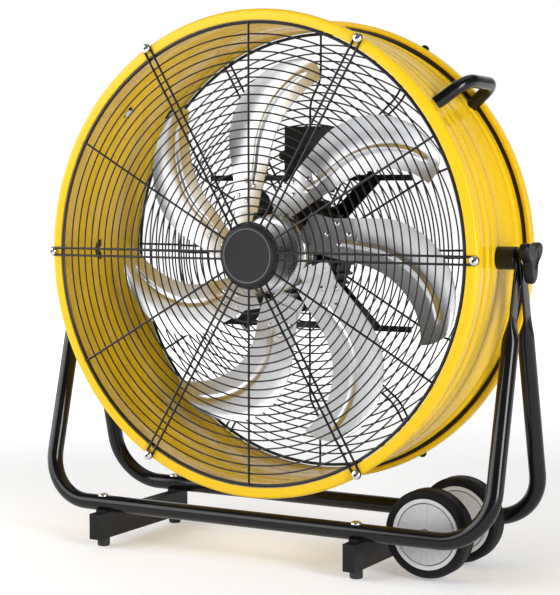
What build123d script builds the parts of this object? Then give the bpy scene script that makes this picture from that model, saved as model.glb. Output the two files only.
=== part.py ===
from build123d import *
import os
from math import atan2, cos, degrees, hypot, radians, sin, tan

# A drum fan: a sheet-metal drum between two wire guards holds a motor with a seven-blade
# rotor. The drum tilts between two bent-tube frames that stand on cross channels and rubber
# feet, with two transport wheels on the right. Millimetres, +Z up, the front faces -Y. The
# origin is on the floor, straight below the middle of the tilt axis.

os.makedirs("parts", exist_ok=True)

# ---- drum
drum_radius = 345.0
drum_sheet = 1.5
drum_half_depth = 110.5
rim_lip = 15.0
rim_width = 15.0
rim_slope = 4.0
ground_clearance = 101.0

# ---- wire guards
ring_wire = 2.4
outer_ring_wire = 5.0
spoke_wire = 3.5
first_ring_radius = 48.0
ring_pitch = 12.5
fine_ring_radius = 295.0
spoke_pairs = 6
hairpin_gap = 11.0
loop_steps = 4
guard_edge_gap = 0.8
screw_inset = 3.3
spoke_overlap = 1.0
stout_sides = 32
rear_step_inner = 232.0
rear_step_outer = 270.0
rear_step = 35.0

# ---- guard badge and screws
badge_radius = 44.0
badge_step_radius = 38.0
badge_step = 1.5
badge_rise = 5.0
badge_flange_radius = 50.0
badge_flange = 1.5
screw_head_radius = 5.6
screw_head_height = 4.0
screw_shank_radius = 2.0

# ---- rotor
blade_count = 7
blade_thickness = 2.0
blade_camber_radius = 200.0
blade_pitch = 20.0
blade_sweep = 27.0
blade_rake = 4.0
root_x = -53.0
root_height = 95.0
root_depth = -28.0
shell_reach = 320.0
blade_depth_span = 90.0
arm_thickness = 3.0
arm_inner = 43.0
arm_outer = 124.0
arm_root_width = 44.0
arm_tip_width = 34.0
post_radius = 70.0
hub_plate_radius = 60.0
hub_plate_thickness = 16.0
hub_cap_radius = 60.0
hub_cap_gap = 0.6
hub_cap_height = 24.0
cap_brim = 18.0
cap_step = 3.0
cap_top_radius = 48.0
rivet_radius = 4.0
rivet_height = 2.0
rivet_lift = 0.06
rivet_spacing_x = 21.0
rivet_spacing_z = 25.0
shaft_radius = 6.0
shaft_front = -40.0
running_clearance = 0.05

# The blade that points up, seen from the front: the ends of its two edges, and one point
# on each round stretch. x is right of the fan axis, the second value is above it.
blade_root_left = (-70.0, 62.0)
blade_root_right = (-20.0, 62.0)
rounded_edge_start = (-92.0, 158.0)
rounded_edge_middle = (-74.0, 238.0)
tip_left = (30.8, 293.4)
tip_middle = (58.0, 284.0)
tip_right = (72.0, 260.0)
hollow_edge_middle = (8.0, 214.0)
hollow_edge_end = (-18.0, 140.0)

# ---- motor
motor_radius = 84.0
fin_height = 8.0
fin_count = 20
fin_width = 6.0
motor_bore = 72.0
motor_front = 8.0
motor_rear = 56.0
cover_thickness = 10.0
bearing_radius = 16.0
bearing_width = 10.0
bearing_floor = 4.0
shaft_hole_gap = 1.5
stator_length = 34.0
rotor_core_radius = 44.0
air_gap = 0.6
mount_plate = 3.0
arm_width = 24.0
strut_height = 115.0
strut_half_length = 178.0
strut_size = 9.0
mount_bolt_circle = 62.0
mount_bolt_radius = 3.0
mount_bolt_head = 5.7
mount_bolt_grip = 5.0

# ---- switch box on the motor
box_x = 12.0
box_half_width = 37.0
box_top = 194.0
box_front = 40.0
box_wall = 3.0
box_tooth = 10.5
box_tooth_pitch = 15.0
box_tooth_height = 6.0
box_slots = 4
cover_inset = 1.0
knob_x = 25.0
knob_ring_gap = 8.5
knob_radius = 14.0
knob_depth = 12.0
knob_grip_depth = 5.0
knob_grip_width = 5.0
knob_stem_radius = 3.0
capacitor_radius = 9.0
capacitor_length = 56.0
gland_height = 150.0
gland_radius = 8.0
gland_nut_radius = 9.6
gland_nut = 6.0
gland_sleeve = 9.0
gland_bore = 4.0
gland_tip_radius = 6.1

# ---- stand
tube_radius = 12.5
leg_gap = 32.5
bar_depth = 102.0
bend_radius = 75.0
bend_steps = 4
plate_thickness = 4.5
plate_width = 24.0
plate_inset = 2.0
flat_start = 124.0
flat_length = 84.0
plate_gap = 0.4
channel_width = 20.0
channel_height = 40.0
channel_wall = 2.0
channel_half_length = 124.0
left_channel_inset = 106.5
right_channel_inset = 204.5
foot_height = 13.0
foot_radius = 10.0
foot_taper = 4.0
saddle_width = 16.0
saddle_length = 18.0
saddle_rise = 3.0
base_bolt_radius = 4.0
base_bolt_head_radius = 8.5
base_bolt_head_height = 5.0
bolt_seat_depth = 1.5
bolt_seat_margin = 0.5
nut_flats = 13.0
nut_height = 6.5
bolt_tail = 3.0
cap_plate = 2.0
cap_plug = 8.0
fit_clearance = 0.1

# ---- wheels
wheel_inset = 109.5
wheel_radius = 64.0
wheel_ground_gap = 3.5
wheel_rim_radius = 51.5
wheel_width = 36.0
wheel_inner_y = 39.0
wheel_face_inset = 2.0
tyre_shoulder = 6.0
tyre_taper = 35.0
wheel_hub_radius = 10.5
axle_radius = 6.0
sleeve_radius = 9.0
body_gap = 0.4

# ---- pivots and lock knobs
boss_radius = 16.5
stud_radius = 5.0
stud_clearance = 0.08
washer_radius = 12.0
washer_thickness = 2.0
lock_knob_radius = 36.0
lock_knob_depth = 18.0
knob_neck_radius = 12.0
knob_neck_length = 4.0
knob_centre_radius = 16.0
lobe_radius = 10.5
lobe_stem = 14.0
lobe_count = 3
lobe_start = 30.0
stud_gap = 5.0

# ---- handles
handle_angle = 39.5
handle_tube_radius = 10.0
handle_centre_y = 23.0
handle_foot_spacing = 124.0
handle_grip_y = 29.0
handle_grip_length = 84.0
handle_rise = 50.0
handle_neck = 6.0
handle_bolt_head = 7.0
handle_bolt_reach = 12.0
handle_bend = 11.0
bolt_head_drop = 0.3

# ---- derived places
rim_radius = drum_radius + rim_lip
axis_height = rim_radius + ground_clearance
fan_axis = Axis((0, 0, axis_height), (0, 1, 0))
front_face = -drum_half_depth
rear_face = drum_half_depth
screw_circle_radius = rim_radius - screw_inset
spoke_end = first_ring_radius - spoke_overlap
guard_edge_radius = drum_radius - drum_sheet - guard_edge_gap
stout_ring_radius = guard_edge_radius - outer_ring_wire / 2
ring_count = int((stout_ring_radius - first_ring_radius) / ring_pitch)
leg_x = drum_radius + leg_gap
left_channel_x = left_channel_inset - leg_x
right_channel_x = leg_x - right_channel_inset
wheel_x = leg_x - wheel_inset
bar_height = wheel_radius + wheel_ground_gap
leg_length = hypot(bar_depth, axis_height - bar_height)
fin_radius = motor_radius + fin_height
channel_top = foot_height + channel_height
leg_lean = degrees(atan2(bar_depth, axis_height - bar_height))
plate_inner_x = leg_x - plate_inset
front_plate_x = plate_inner_x + plate_thickness / 2
rear_plate_x = front_plate_x + plate_thickness
plates_outer_x = plate_inner_x + 2 * plate_thickness
boss_end_x = plate_inner_x - plate_gap

# ---- sides of the polygons that stand for small round forms
small_sides = 6
lobe_sides = 8
tube_sides = 12
round_sides = 12
large_sides = 24
wheel_sides = 24


def save(part, label):
    """Label a finished piece and write its file."""
    part.label = label
    export_step(part, f"parts/{label}.step")


def front_plane(depth):
    """Plane across the fan axis: local x is right, local y is up, its normal faces forward."""
    return Plane(origin=(0, depth, axis_height), x_dir=(1, 0, 0), z_dir=(0, -1, 0))


def side_plane(x, outward=1):
    """Plane across the tilt axis, its normal along +X or -X: local y is up."""
    return Plane(origin=(x, 0, axis_height), x_dir=(0, outward, 0), z_dir=(outward, 0, 0))


def turned(part, angle):
    """A copy turned about the fan axis, counter-clockwise as seen from the front."""
    return part.rotate(fan_axis, -angle)


def around(flat_radius, sides=round_sides):
    """Corner radius of a polygon whose flats lie at this radius."""
    return flat_radius / cos(radians(180 / sides))


# ------------------------------------------------------------------ drum


def drum_profile():
    """Half section of the drum, as (radius, depth) points: a sheet wall and beaded rims."""
    rim_back = front_face + rim_width
    rear_rim_front = rear_face - rim_width
    return [
        (drum_radius - drum_sheet, front_face),
        (rim_radius, front_face),
        (rim_radius, rim_back - rim_slope),
        (drum_radius, rim_back),
        (drum_radius, rear_rim_front),
        (rim_radius, rear_rim_front),
        (rim_radius, rear_face),
        (drum_radius - drum_sheet, rear_face),
    ]


handle_feet = [handle_centre_y - handle_foot_spacing / 2, handle_centre_y + handle_foot_spacing / 2]
handle_angles = {"right": handle_angle, "left": 180 - handle_angle}


def radial_plane(angle):
    """Plane through the fan axis at this angle: local x is depth, local y is the radius."""
    turn = radians(angle)
    return Plane(
        origin=(0, 0, axis_height), x_dir=(0, 1, 0), z_dir=(sin(turn), 0, -cos(turn))
    )


def tangent_plane(angle, radius, depth=0):
    """Plane square to the radius at this angle, its normal pointing outwards."""
    turn = radians(angle)
    return Plane(
        origin=(radius * cos(turn), depth, axis_height + radius * sin(turn)),
        x_dir=(0, 1, 0),
        z_dir=(cos(turn), 0, sin(turn)),
    )


with BuildPart() as drum_shell:
    with BuildSketch(Plane.XY.offset(axis_height)):
        with BuildLine():
            Polyline(*drum_profile(), close=True)
        make_face()
    revolve(axis=fan_axis)
    for angle in handle_angles.values():
        for foot in handle_feet:
            with BuildSketch(tangent_plane(angle, drum_radius - 10, foot)):
                Rectangle(handle_neck + 2 * fit_clearance, handle_neck + 2 * fit_clearance)
            extrude(amount=20, mode=Mode.SUBTRACT)
save(drum_shell.part, "drum_shell")


# ------------------------------------------------------------------ wire guards


def ring_sides(radius):
    """Sides of the polygon that a thin ring is bent to: more of them on a large ring."""
    return round_sides if radius < fine_ring_radius else 2 * round_sides


def thin_ring_radii():
    """Centre radii of the thin rings."""
    return [first_ring_radius + ring_pitch * i for i in range(ring_count)]


def rear_set_in(radius):
    """How far the rear guard is dished forward at this radius."""
    share = (rear_step_outer - radius) / (rear_step_outer - rear_step_inner)
    return rear_step * min(1.0, max(0.0, share))


def wire_ring(radius, depth, wire, sides, rise):
    """One wire bent to a many-sided ring: a flat side at this depth, its ridge along rise."""
    corners = [radians(360 * (number + 0.5) / sides) for number in range(sides)]
    with BuildPart() as ring:
        with BuildLine(front_plane(depth)) as course:
            Polyline(*[(radius * cos(a), radius * sin(a)) for a in corners], close=True)
        along = course.line % 0
        across = along.cross(Vector(0, 1, 0))
        with BuildSketch(Plane(origin=course.line @ 0, x_dir=across, z_dir=along)):
            with BuildLine():
                Polyline((-wire / 2, 0), (wire / 2, 0), (0, -rise * wire), close=True)
            make_face()
        sweep(path=course.line, transition=Transition.RIGHT)
    return ring.part


def guard_rings(depth_at, rise):
    """Concentric wires at the depth of the spokes they cross; rise is their ridge's side."""
    with BuildPart() as rings:
        for radius in thin_ring_radii():
            sides = ring_sides(radius)
            at_spoke = radius * cos(radians(180 / sides)) - ring_wire / 2
            add(wire_ring(radius, depth_at(at_spoke), ring_wire, sides, rise))
        edge_depth = depth_at(stout_ring_radius)
        add(wire_ring(stout_ring_radius, edge_depth, outer_ring_wire, stout_sides, rise))
    return rings.part


def hairpin_plan(plane):
    """Plan of one hairpin: two wires along the radius, joined by a loop round a rim screw."""
    outer = (hairpin_gap + spoke_wire) / 2
    inner = (hairpin_gap - spoke_wire) / 2
    turns = [radians(180 * number / loop_steps - 90) for number in range(loop_steps + 1)]
    outside = [(screw_circle_radius + outer * cos(a), outer * sin(a)) for a in turns]
    inside = [(screw_circle_radius + inner * cos(a), inner * sin(a)) for a in reversed(turns)]
    with BuildSketch(plane) as plan:
        with BuildLine():
            Polyline(
                (spoke_end, -outer),
                *outside,
                (spoke_end, outer),
                (spoke_end, inner),
                *inside,
                (spoke_end, -inner),
                close=True,
            )
        make_face()
    return plan.sketch


def single_plan(plane):
    """Plan of the single wire that lies half way between two hairpins."""
    with BuildSketch(plane) as plan:
        with Locations((spoke_end, 0)):
            Rectangle(
                guard_edge_radius - spoke_end, spoke_wire, align=(Align.MIN, Align.CENTER)
            )
    return plan.sketch


def spread_spokes(hairpin, single):
    """All the spokes of a guard, as separate solids."""
    step = 360 / spoke_pairs
    with BuildPart() as spokes:
        for number in range(spoke_pairs):
            add(turned(hairpin, number * step))
            add(turned(single, (number + 0.5) * step))
    return spokes.part


save(guard_rings(lambda radius: front_face, 1), "front_guard_rings")
save(guard_rings(lambda radius: rear_face - rear_set_in(radius), -1), "rear_guard_rings")

with BuildPart() as front_hairpin:
    extrude(hairpin_plan(front_plane(front_face)), amount=spoke_wire)
with BuildPart() as front_single:
    extrude(single_plan(front_plane(front_face)), amount=spoke_wire)
save(spread_spokes(front_hairpin.part, front_single.part), "front_guard_spokes")


def dished(plan_function, width):
    """A spoke of the rear guard: its plan, cut from a strip that follows the dish."""
    reach = screw_circle_radius + hairpin_gap
    inner_depth = rear_face - rear_step
    with BuildPart() as spoke:
        with BuildSketch(Plane.XY.offset(axis_height)):
            with BuildLine():
                Polyline(
                    (0, inner_depth),
                    (rear_step_inner, inner_depth),
                    (rear_step_outer, rear_face),
                    (reach, rear_face),
                    (reach, rear_face + spoke_wire),
                    (rear_step_outer, rear_face + spoke_wire),
                    (rear_step_inner, inner_depth + spoke_wire),
                    (0, inner_depth + spoke_wire),
                    close=True,
                )
            make_face()
        extrude(amount=width, both=True)
        plan = plan_function(front_plane(rear_face + 2 * spoke_wire))
        extrude(plan, amount=rear_step + 3 * spoke_wire, mode=Mode.INTERSECT)
    return spoke.part


rear_hairpin = dished(hairpin_plan, hairpin_gap)
rear_single = dished(single_plan, hairpin_gap)
save(spread_spokes(rear_hairpin, rear_single), "rear_guard_spokes")

badge_back = front_face + ring_wire
badge_front = front_face - spoke_wire - badge_rise
with BuildPart() as guard_badge:
    with BuildSketch(front_plane(badge_back)):
        RegularPolygon(badge_radius, large_sides)
    extrude(amount=badge_back - badge_front)
    with BuildSketch(front_plane(badge_back)):
        RegularPolygon(badge_flange_radius, large_sides)
    extrude(amount=-badge_flange)
    with BuildSketch(front_plane(badge_front)):
        RegularPolygon(badge_step_radius, large_sides)
    extrude(amount=-badge_step, mode=Mode.SUBTRACT)
save(guard_badge.part, "guard_badge")


def rim_screws(seat_depth, direction):
    """Domed screws with their shanks, one in each hairpin loop."""
    with BuildPart() as screws:
        with BuildSketch(front_plane(seat_depth)):
            with PolarLocations(screw_circle_radius, spoke_pairs):
                RegularPolygon(screw_head_radius, small_sides)
        extrude(amount=direction * screw_head_height, taper=24)
        with BuildSketch(front_plane(seat_depth)):
            with PolarLocations(screw_circle_radius, spoke_pairs):
                RegularPolygon(screw_shank_radius, small_sides)
        extrude(amount=-direction * spoke_wire)
    return screws.part


save(rim_screws(front_face - spoke_wire, 1), "front_guard_screws")
save(rim_screws(rear_face + spoke_wire, -1), "rear_guard_screws")


# ------------------------------------------------------------------ rotor

# The blade is a strip of a large cylinder, hollow towards the front. The cylinder's length
# leans towards the tip, and its section plane stands at the middle of the root.
sweep_angle = radians(blade_sweep)
rake_angle = radians(blade_rake)
run = Vector(
    sin(sweep_angle) * cos(rake_angle), sin(rake_angle), cos(sweep_angle) * cos(rake_angle)
)
level_chord = Vector(cos(sweep_angle), -tan(radians(blade_pitch)), -sin(sweep_angle))
chord = level_chord - run * level_chord.dot(run)
shell_plane = Plane(
    origin=(root_x, root_depth, axis_height + root_height), x_dir=chord, z_dir=run
)


def curved_sheet(front_radius, thickness):
    """Thick-walled cylinder whose inside, towards the front, has this radius."""
    with BuildPart() as sheet:
        with BuildSketch(shell_plane):
            with Locations((0, -blade_camber_radius)):
                Circle(front_radius + thickness)
                Circle(front_radius, mode=Mode.SUBTRACT)
        extrude(amount=shell_reach, both=True)
    return sheet.part


blade_front_radius = blade_camber_radius - blade_thickness / 2
with BuildPart() as blade:
    with BuildSketch(front_plane(blade_depth_span)):
        with BuildLine():
            Line(blade_root_right, blade_root_left)
            Line(blade_root_left, rounded_edge_start)
            ThreePointArc(rounded_edge_start, rounded_edge_middle, tip_left)
            ThreePointArc(tip_left, tip_middle, tip_right)
            ThreePointArc(tip_right, hollow_edge_middle, hollow_edge_end)
            Line(hollow_edge_end, blade_root_right)
        make_face()
    extrude(amount=2 * blade_depth_span)
    add(curved_sheet(blade_front_radius, blade_thickness), mode=Mode.INTERSECT)

for number in range(blade_count):
    save(turned(blade.part, -number * 360 / blade_count), f"blade_{number + 1}")

arm_corners = [
    (root_x - arm_root_width / 2, arm_inner),
    (root_x - arm_tip_width / 2, arm_outer),
    (root_x + arm_tip_width / 2, arm_outer),
    (root_x + arm_root_width / 2, arm_inner),
]
arm_front_radius = blade_front_radius + blade_thickness
hub_plate_front = root_depth + blade_thickness
hub_plate_back = hub_plate_front + hub_plate_thickness

# One spider arm lies against the back of each blade's root, bent to the same curve.
with BuildPart() as spider_arm:
    with BuildSketch(front_plane(blade_depth_span)):
        with BuildLine():
            Polyline(*arm_corners, close=True)
        make_face()
    extrude(amount=2 * blade_depth_span)
    add(curved_sheet(arm_front_radius, arm_thickness), mode=Mode.INTERSECT)

# The arm's inner end stands on a post beside the hub plate, which reaches forward to it.
with BuildPart() as spider_post:
    with BuildSketch(front_plane(hub_plate_back)):
        with BuildLine():
            Polyline(*arm_corners, close=True)
        make_face()
        RegularPolygon(post_radius, large_sides, mode=Mode.INTERSECT)
    extrude(amount=blade_depth_span)
    with BuildSketch(shell_plane):
        with Locations((0, -blade_camber_radius)):
            Circle(arm_front_radius)
    extrude(amount=shell_reach, both=True, mode=Mode.SUBTRACT)

with BuildPart() as hub_spider:
    with BuildSketch(front_plane(hub_plate_back)):
        RegularPolygon(hub_plate_radius, large_sides)
    extrude(amount=hub_plate_thickness)
    for number in range(blade_count):
        add(turned(spider_post.part, -number * 360 / blade_count))
        add(turned(spider_arm.part, -number * 360 / blade_count))
    with BuildSketch(front_plane(hub_plate_front)):
        RegularPolygon(hub_cap_radius + hub_cap_gap, large_sides)
    extrude(amount=blade_depth_span, mode=Mode.SUBTRACT)
    with BuildSketch(front_plane(0)):
        RegularPolygon(around(shaft_radius), round_sides)
    extrude(amount=-shaft_front, mode=Mode.SUBTRACT)
save(hub_spider.part, "hub_spider")

with BuildPart() as hub_cap:
    with BuildSketch(front_plane(hub_plate_front)):
        RegularPolygon(hub_cap_radius, large_sides)
    extrude(amount=cap_brim)
    with BuildSketch(front_plane(hub_plate_front - cap_brim)):
        RegularPolygon(hub_cap_radius - cap_step, large_sides)
    with BuildSketch(front_plane(hub_plate_front - hub_cap_height)):
        RegularPolygon(cap_top_radius, large_sides)
    loft()
    with BuildSketch(front_plane(0)):
        RegularPolygon(around(shaft_radius), round_sides)
    extrude(amount=-shaft_front, mode=Mode.SUBTRACT)
save(hub_cap.part, "hub_cap")


def rivet_seat(across, along):
    """Plane on the blade's front face, at this place along its chord and its length."""
    angle = across / blade_front_radius
    place = shell_plane.from_local_coords(
        Vector(
            blade_front_radius * sin(angle),
            blade_front_radius * cos(angle) - blade_camber_radius,
            along,
        )
    )
    inward = shell_plane.x_dir * -sin(angle) - shell_plane.y_dir * cos(angle)
    return Plane(origin=place, x_dir=shell_plane.z_dir, z_dir=inward).offset(rivet_lift)


with BuildPart() as rivet_group:
    for across in (-rivet_spacing_x / 2, rivet_spacing_x / 2):
        for along in (-rivet_spacing_z / 2, rivet_spacing_z / 2):
            with BuildSketch(rivet_seat(across, along)):
                RegularPolygon(rivet_radius, small_sides)
            extrude(amount=rivet_height)
with BuildPart() as blade_rivets:
    for number in range(blade_count):
        add(turned(rivet_group.part, -number * 360 / blade_count))
save(blade_rivets.part, "blade_rivets")

motor_length = motor_rear - motor_front
motor_middle = (motor_front + motor_rear) / 2
rear_bearing_end = motor_rear + cover_thickness - bearing_floor
front_bearing_end = motor_front - cover_thickness + bearing_floor
shaft_rear = rear_bearing_end - 1
with BuildPart() as fan_shaft:
    with BuildSketch(front_plane(shaft_rear)):
        Circle(shaft_radius)
    extrude(amount=shaft_rear - shaft_front)
save(fan_shaft.part, "fan_shaft")

with BuildPart() as rotor_core:
    with BuildSketch(front_plane(motor_middle + stator_length / 2)):
        RegularPolygon(rotor_core_radius, large_sides)
        RegularPolygon(around(shaft_radius), round_sides, mode=Mode.SUBTRACT)
    extrude(amount=stator_length)
save(rotor_core.part, "rotor_core")


# ------------------------------------------------------------------ motor

with BuildPart() as motor_housing:
    with BuildSketch(front_plane(motor_rear)):
        RegularPolygon(motor_radius, fin_count)
        with PolarLocations(0, fin_count):
            Rectangle(fin_radius, fin_width, align=(Align.MIN, Align.CENTER))
        RegularPolygon(motor_bore, fin_count, mode=Mode.SUBTRACT)
    extrude(amount=motor_length)
save(motor_housing.part, "motor_housing")

with BuildPart() as stator:
    with BuildSketch(front_plane(motor_middle + stator_length / 2)):
        RegularPolygon(motor_bore, fin_count)
        RegularPolygon(
            around(rotor_core_radius + air_gap, large_sides), large_sides, mode=Mode.SUBTRACT
        )
    extrude(amount=stator_length)
save(stator.part, "stator")


def motor_cover(rear_end, bearing_end):
    """End cover of the motor, with a pocket for its bearing."""
    with BuildPart() as cover:
        with BuildSketch(front_plane(rear_end)):
            RegularPolygon(motor_radius, fin_count)
        extrude(amount=cover_thickness)
        with BuildSketch(front_plane(bearing_end)):
            RegularPolygon(bearing_radius, round_sides)
        extrude(amount=bearing_width, mode=Mode.SUBTRACT)
    return cover.part


with BuildPart() as motor_front_cover:
    add(motor_cover(motor_front, front_bearing_end + bearing_width))
    with BuildSketch(front_plane(motor_front)):
        RegularPolygon(shaft_radius + shaft_hole_gap, round_sides)
    extrude(amount=cover_thickness, mode=Mode.SUBTRACT)
save(motor_front_cover.part, "motor_front_cover")

rear_cover_end = motor_rear + cover_thickness
with BuildPart() as motor_rear_cover:
    add(motor_cover(rear_cover_end, rear_bearing_end))
    with BuildSketch(front_plane(rear_cover_end)):
        with PolarLocations(mount_bolt_circle, 4, start_angle=45):
            RegularPolygon(mount_bolt_radius + fit_clearance, small_sides)
    extrude(amount=mount_bolt_grip, mode=Mode.SUBTRACT)
save(motor_rear_cover.part, "motor_rear_cover")

with BuildPart() as motor_bearings:
    for end in (front_bearing_end + bearing_width, rear_bearing_end):
        with BuildSketch(front_plane(end)):
            RegularPolygon(bearing_radius, round_sides)
            RegularPolygon(
                around(shaft_radius + running_clearance), round_sides, mode=Mode.SUBTRACT
            )
        extrude(amount=bearing_width)
save(motor_bearings.part, "motor_bearings")

# A cross-shaped plate joins the back of the motor to two struts on the rear guard.
plate_rear = rear_cover_end + mount_plate
arm_reach = strut_height / sin(radians(45)) + strut_size / 2
with BuildPart() as motor_mount_plate:
    with BuildSketch(front_plane(plate_rear)):
        with PolarLocations(0, 4, start_angle=45):
            Rectangle(arm_reach, arm_width, align=(Align.MIN, Align.CENTER))
        with PolarLocations(mount_bolt_circle, 4, start_angle=45):
            RegularPolygon(mount_bolt_radius + fit_clearance, small_sides, mode=Mode.SUBTRACT)
    extrude(amount=mount_plate)
save(motor_mount_plate.part, "motor_mount_plate")

rear_ring_ridge = rear_face - rear_step - ring_wire
with BuildPart() as motor_struts:
    with BuildSketch(front_plane(rear_ring_ridge)):
        with Locations((0, strut_height), (0, -strut_height)):
            Rectangle(2 * strut_half_length, strut_size)
    extrude(amount=rear_ring_ridge - plate_rear)
save(motor_struts.part, "motor_struts")

with BuildPart() as motor_bolts:
    with BuildSketch(front_plane(plate_rear)):
        with PolarLocations(mount_bolt_circle, 4, start_angle=45):
            RegularPolygon(mount_bolt_radius, small_sides)
    extrude(amount=mount_plate + mount_bolt_grip)
    with BuildSketch(front_plane(plate_rear)):
        with PolarLocations(mount_bolt_circle, 4, start_angle=45):
            RegularPolygon(mount_bolt_head, 6)
    extrude(amount=-mount_bolt_radius)
save(motor_bolts.part, "motor_bolts")


# ------------------------------------------------------------------ switch box

box_rear = rear_cover_end
box_middle = (box_front + box_rear) / 2
box_floor = fin_radius + body_gap
with BuildPart() as switch_box:
    with BuildSketch(front_plane(box_rear)):
        with Locations((box_x, box_floor)):
            Rectangle(
                2 * box_half_width, box_top - box_floor, align=(Align.CENTER, Align.MIN)
            )
    extrude(amount=box_rear - box_front)
    with BuildSketch(front_plane(box_rear)):
        with Locations((box_x, box_floor + box_wall)):
            Rectangle(
                2 * (box_half_width - box_wall),
                box_top - box_floor - 2 * box_wall - box_tooth_height,
                align=(Align.CENTER, Align.MIN),
            )
    extrude(amount=box_rear - box_front - box_wall, mode=Mode.SUBTRACT)
    with BuildSketch(front_plane(box_rear)):
        with Locations((box_x, box_top)):
            with GridLocations(box_tooth_pitch, 0, box_slots, 1):
                Rectangle(box_tooth_pitch - box_tooth, 2 * box_tooth_height)
    extrude(amount=box_rear - box_front, mode=Mode.SUBTRACT)
save(switch_box.part, "switch_box")

# The knob's stem passes between two rings of the rear guard, beside the top single wire:
# the rings' flat sides are square to that wire there, so their gap is a height.
knob_height = first_ring_radius + knob_ring_gap * ring_pitch
knob_z = knob_height * cos(radians(180 / round_sides))
with BuildPart() as switch_box_cover:
    with BuildSketch(front_plane(box_rear + box_wall)):
        with Locations((box_x, box_floor + cover_inset)):
            Rectangle(
                2 * (box_half_width - cover_inset),
                box_top - box_floor - box_tooth_height - 2 * cover_inset,
                align=(Align.CENTER, Align.MIN),
            )
        with Locations((knob_x, knob_z)):
            RegularPolygon(
                around(knob_stem_radius + stud_clearance), round_sides, mode=Mode.SUBTRACT
            )
    extrude(amount=box_wall)
save(switch_box_cover.part, "switch_box_cover")

with BuildPart() as run_capacitor:
    capacitor_height = box_floor + box_wall + capacitor_radius
    end = Plane(
        origin=(box_x - capacitor_length / 2, box_middle, axis_height + capacitor_height),
        x_dir=(0, 0, 1),
        z_dir=(1, 0, 0),
    )
    with BuildSketch(end):
        RegularPolygon(capacitor_radius, round_sides, rotation=180 / round_sides)
    extrude(amount=capacitor_length)
save(run_capacitor.part, "run_capacitor")

with BuildPart() as cable_gland:
    gland_plane = Plane(
        origin=(box_x - box_half_width, box_middle, axis_height + gland_height),
        x_dir=(0, 1, 0),
        z_dir=(-1, 0, 0),
    )
    with BuildSketch(gland_plane):
        RegularPolygon(gland_nut_radius, 6)
    extrude(amount=gland_nut)
    with BuildSketch(gland_plane.offset(gland_nut)):
        RegularPolygon(gland_radius, round_sides)
    with BuildSketch(gland_plane.offset(gland_nut + gland_sleeve)):
        RegularPolygon(gland_tip_radius, round_sides)
    loft()
    with BuildSketch(gland_plane):
        RegularPolygon(gland_bore, round_sides)
    extrude(amount=gland_nut + gland_sleeve, mode=Mode.SUBTRACT)
save(cable_gland.part, "cable_gland")

knob_seat = rear_face - rear_step + spoke_wire + body_gap
with BuildPart() as speed_knob:
    with BuildSketch(front_plane(knob_seat)):
        with Locations((knob_x, knob_z)):
            RegularPolygon(knob_stem_radius, round_sides)
    extrude(amount=knob_seat - box_rear - 1)
    with BuildSketch(front_plane(knob_seat + knob_depth)):
        with Locations((knob_x, knob_z)):
            RegularPolygon(knob_radius, 2 * round_sides)
    extrude(amount=knob_depth)
    with BuildSketch(front_plane(knob_seat + knob_depth + knob_grip_depth)):
        with Locations((knob_x, knob_z)):
            Rectangle(knob_grip_width, 2 * knob_radius - knob_grip_width)
    extrude(amount=knob_grip_depth)
save(speed_knob.part, "speed_knob")


# ------------------------------------------------------------------ handles


def carry_handle(angle):
    """Bent tube that stands on the drum's wall, its feet cut to the wall's curve."""
    grip_radius = drum_radius + handle_rise
    grip_front = handle_grip_y - handle_grip_length / 2
    grip_rear = handle_grip_y + handle_grip_length / 2
    front_foot, rear_foot = handle_feet
    sunk = drum_radius - handle_bend
    with BuildPart() as handle:
        with BuildLine(radial_plane(angle)):
            centre = Polyline(
                (front_foot, sunk),
                (grip_front - handle_bend, grip_radius - handle_bend),
                (grip_front, grip_radius),
                (grip_rear, grip_radius),
                (grip_rear + handle_bend, grip_radius - handle_bend),
                (rear_foot, sunk),
            )
        with BuildSketch(Plane(origin=centre @ 0, z_dir=centre % 0)):
            RegularPolygon(handle_tube_radius, round_sides)
        sweep(transition=Transition.RIGHT)
        with BuildSketch(front_plane(drum_half_depth)):
            Circle(drum_radius)
        extrude(amount=2 * drum_half_depth, mode=Mode.SUBTRACT)
        for foot in handle_feet:
            with BuildSketch(tangent_plane(angle, drum_radius - handle_bolt_reach, foot)):
                Rectangle(handle_neck + 2 * fit_clearance, handle_neck + 2 * fit_clearance)
            extrude(amount=2 * handle_bolt_reach, mode=Mode.SUBTRACT)
    return handle.part


for side, angle in handle_angles.items():
    save(carry_handle(angle), f"{side}_handle")

with BuildPart() as handle_bolts:
    for angle in handle_angles.values():
        for foot in handle_feet:
            seat = drum_radius - drum_sheet - bolt_head_drop
            with BuildSketch(tangent_plane(angle, seat, foot)):
                RegularPolygon(handle_bolt_head, small_sides)
            extrude(amount=-handle_neck / 2)
            with BuildSketch(tangent_plane(angle, seat, foot)):
                Rectangle(handle_neck, handle_neck)
            extrude(amount=handle_bolt_reach)
save(handle_bolts.part, "handle_bolts")


# ------------------------------------------------------------------ stand


def leg_plane(side):
    """Plane of one U frame through the tilt axis: side is -1 in front, +1 behind."""
    upright = (axis_height - bar_height) / leg_length
    lean = -side * bar_depth / leg_length
    return Plane(origin=(0, 0, axis_height), x_dir=(1, 0, 0), z_dir=(0, -upright, lean))


def leg_course():
    """Centre line of a U frame, its two bends divided into short straight runs."""
    course = [(-leg_x, -flat_length)]
    for hand in (-1, 1):
        centre_x = hand * (leg_x - bend_radius)
        centre_y = bend_radius - leg_length
        angles = [90 * number / bend_steps for number in range(bend_steps + 1)]
        for angle in angles if hand < 0 else reversed(angles):
            turn = radians(angle)
            course.append(
                (centre_x + hand * bend_radius * cos(turn), centre_y - bend_radius * sin(turn))
            )
    course.append((leg_x, -flat_length))
    return course


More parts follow.
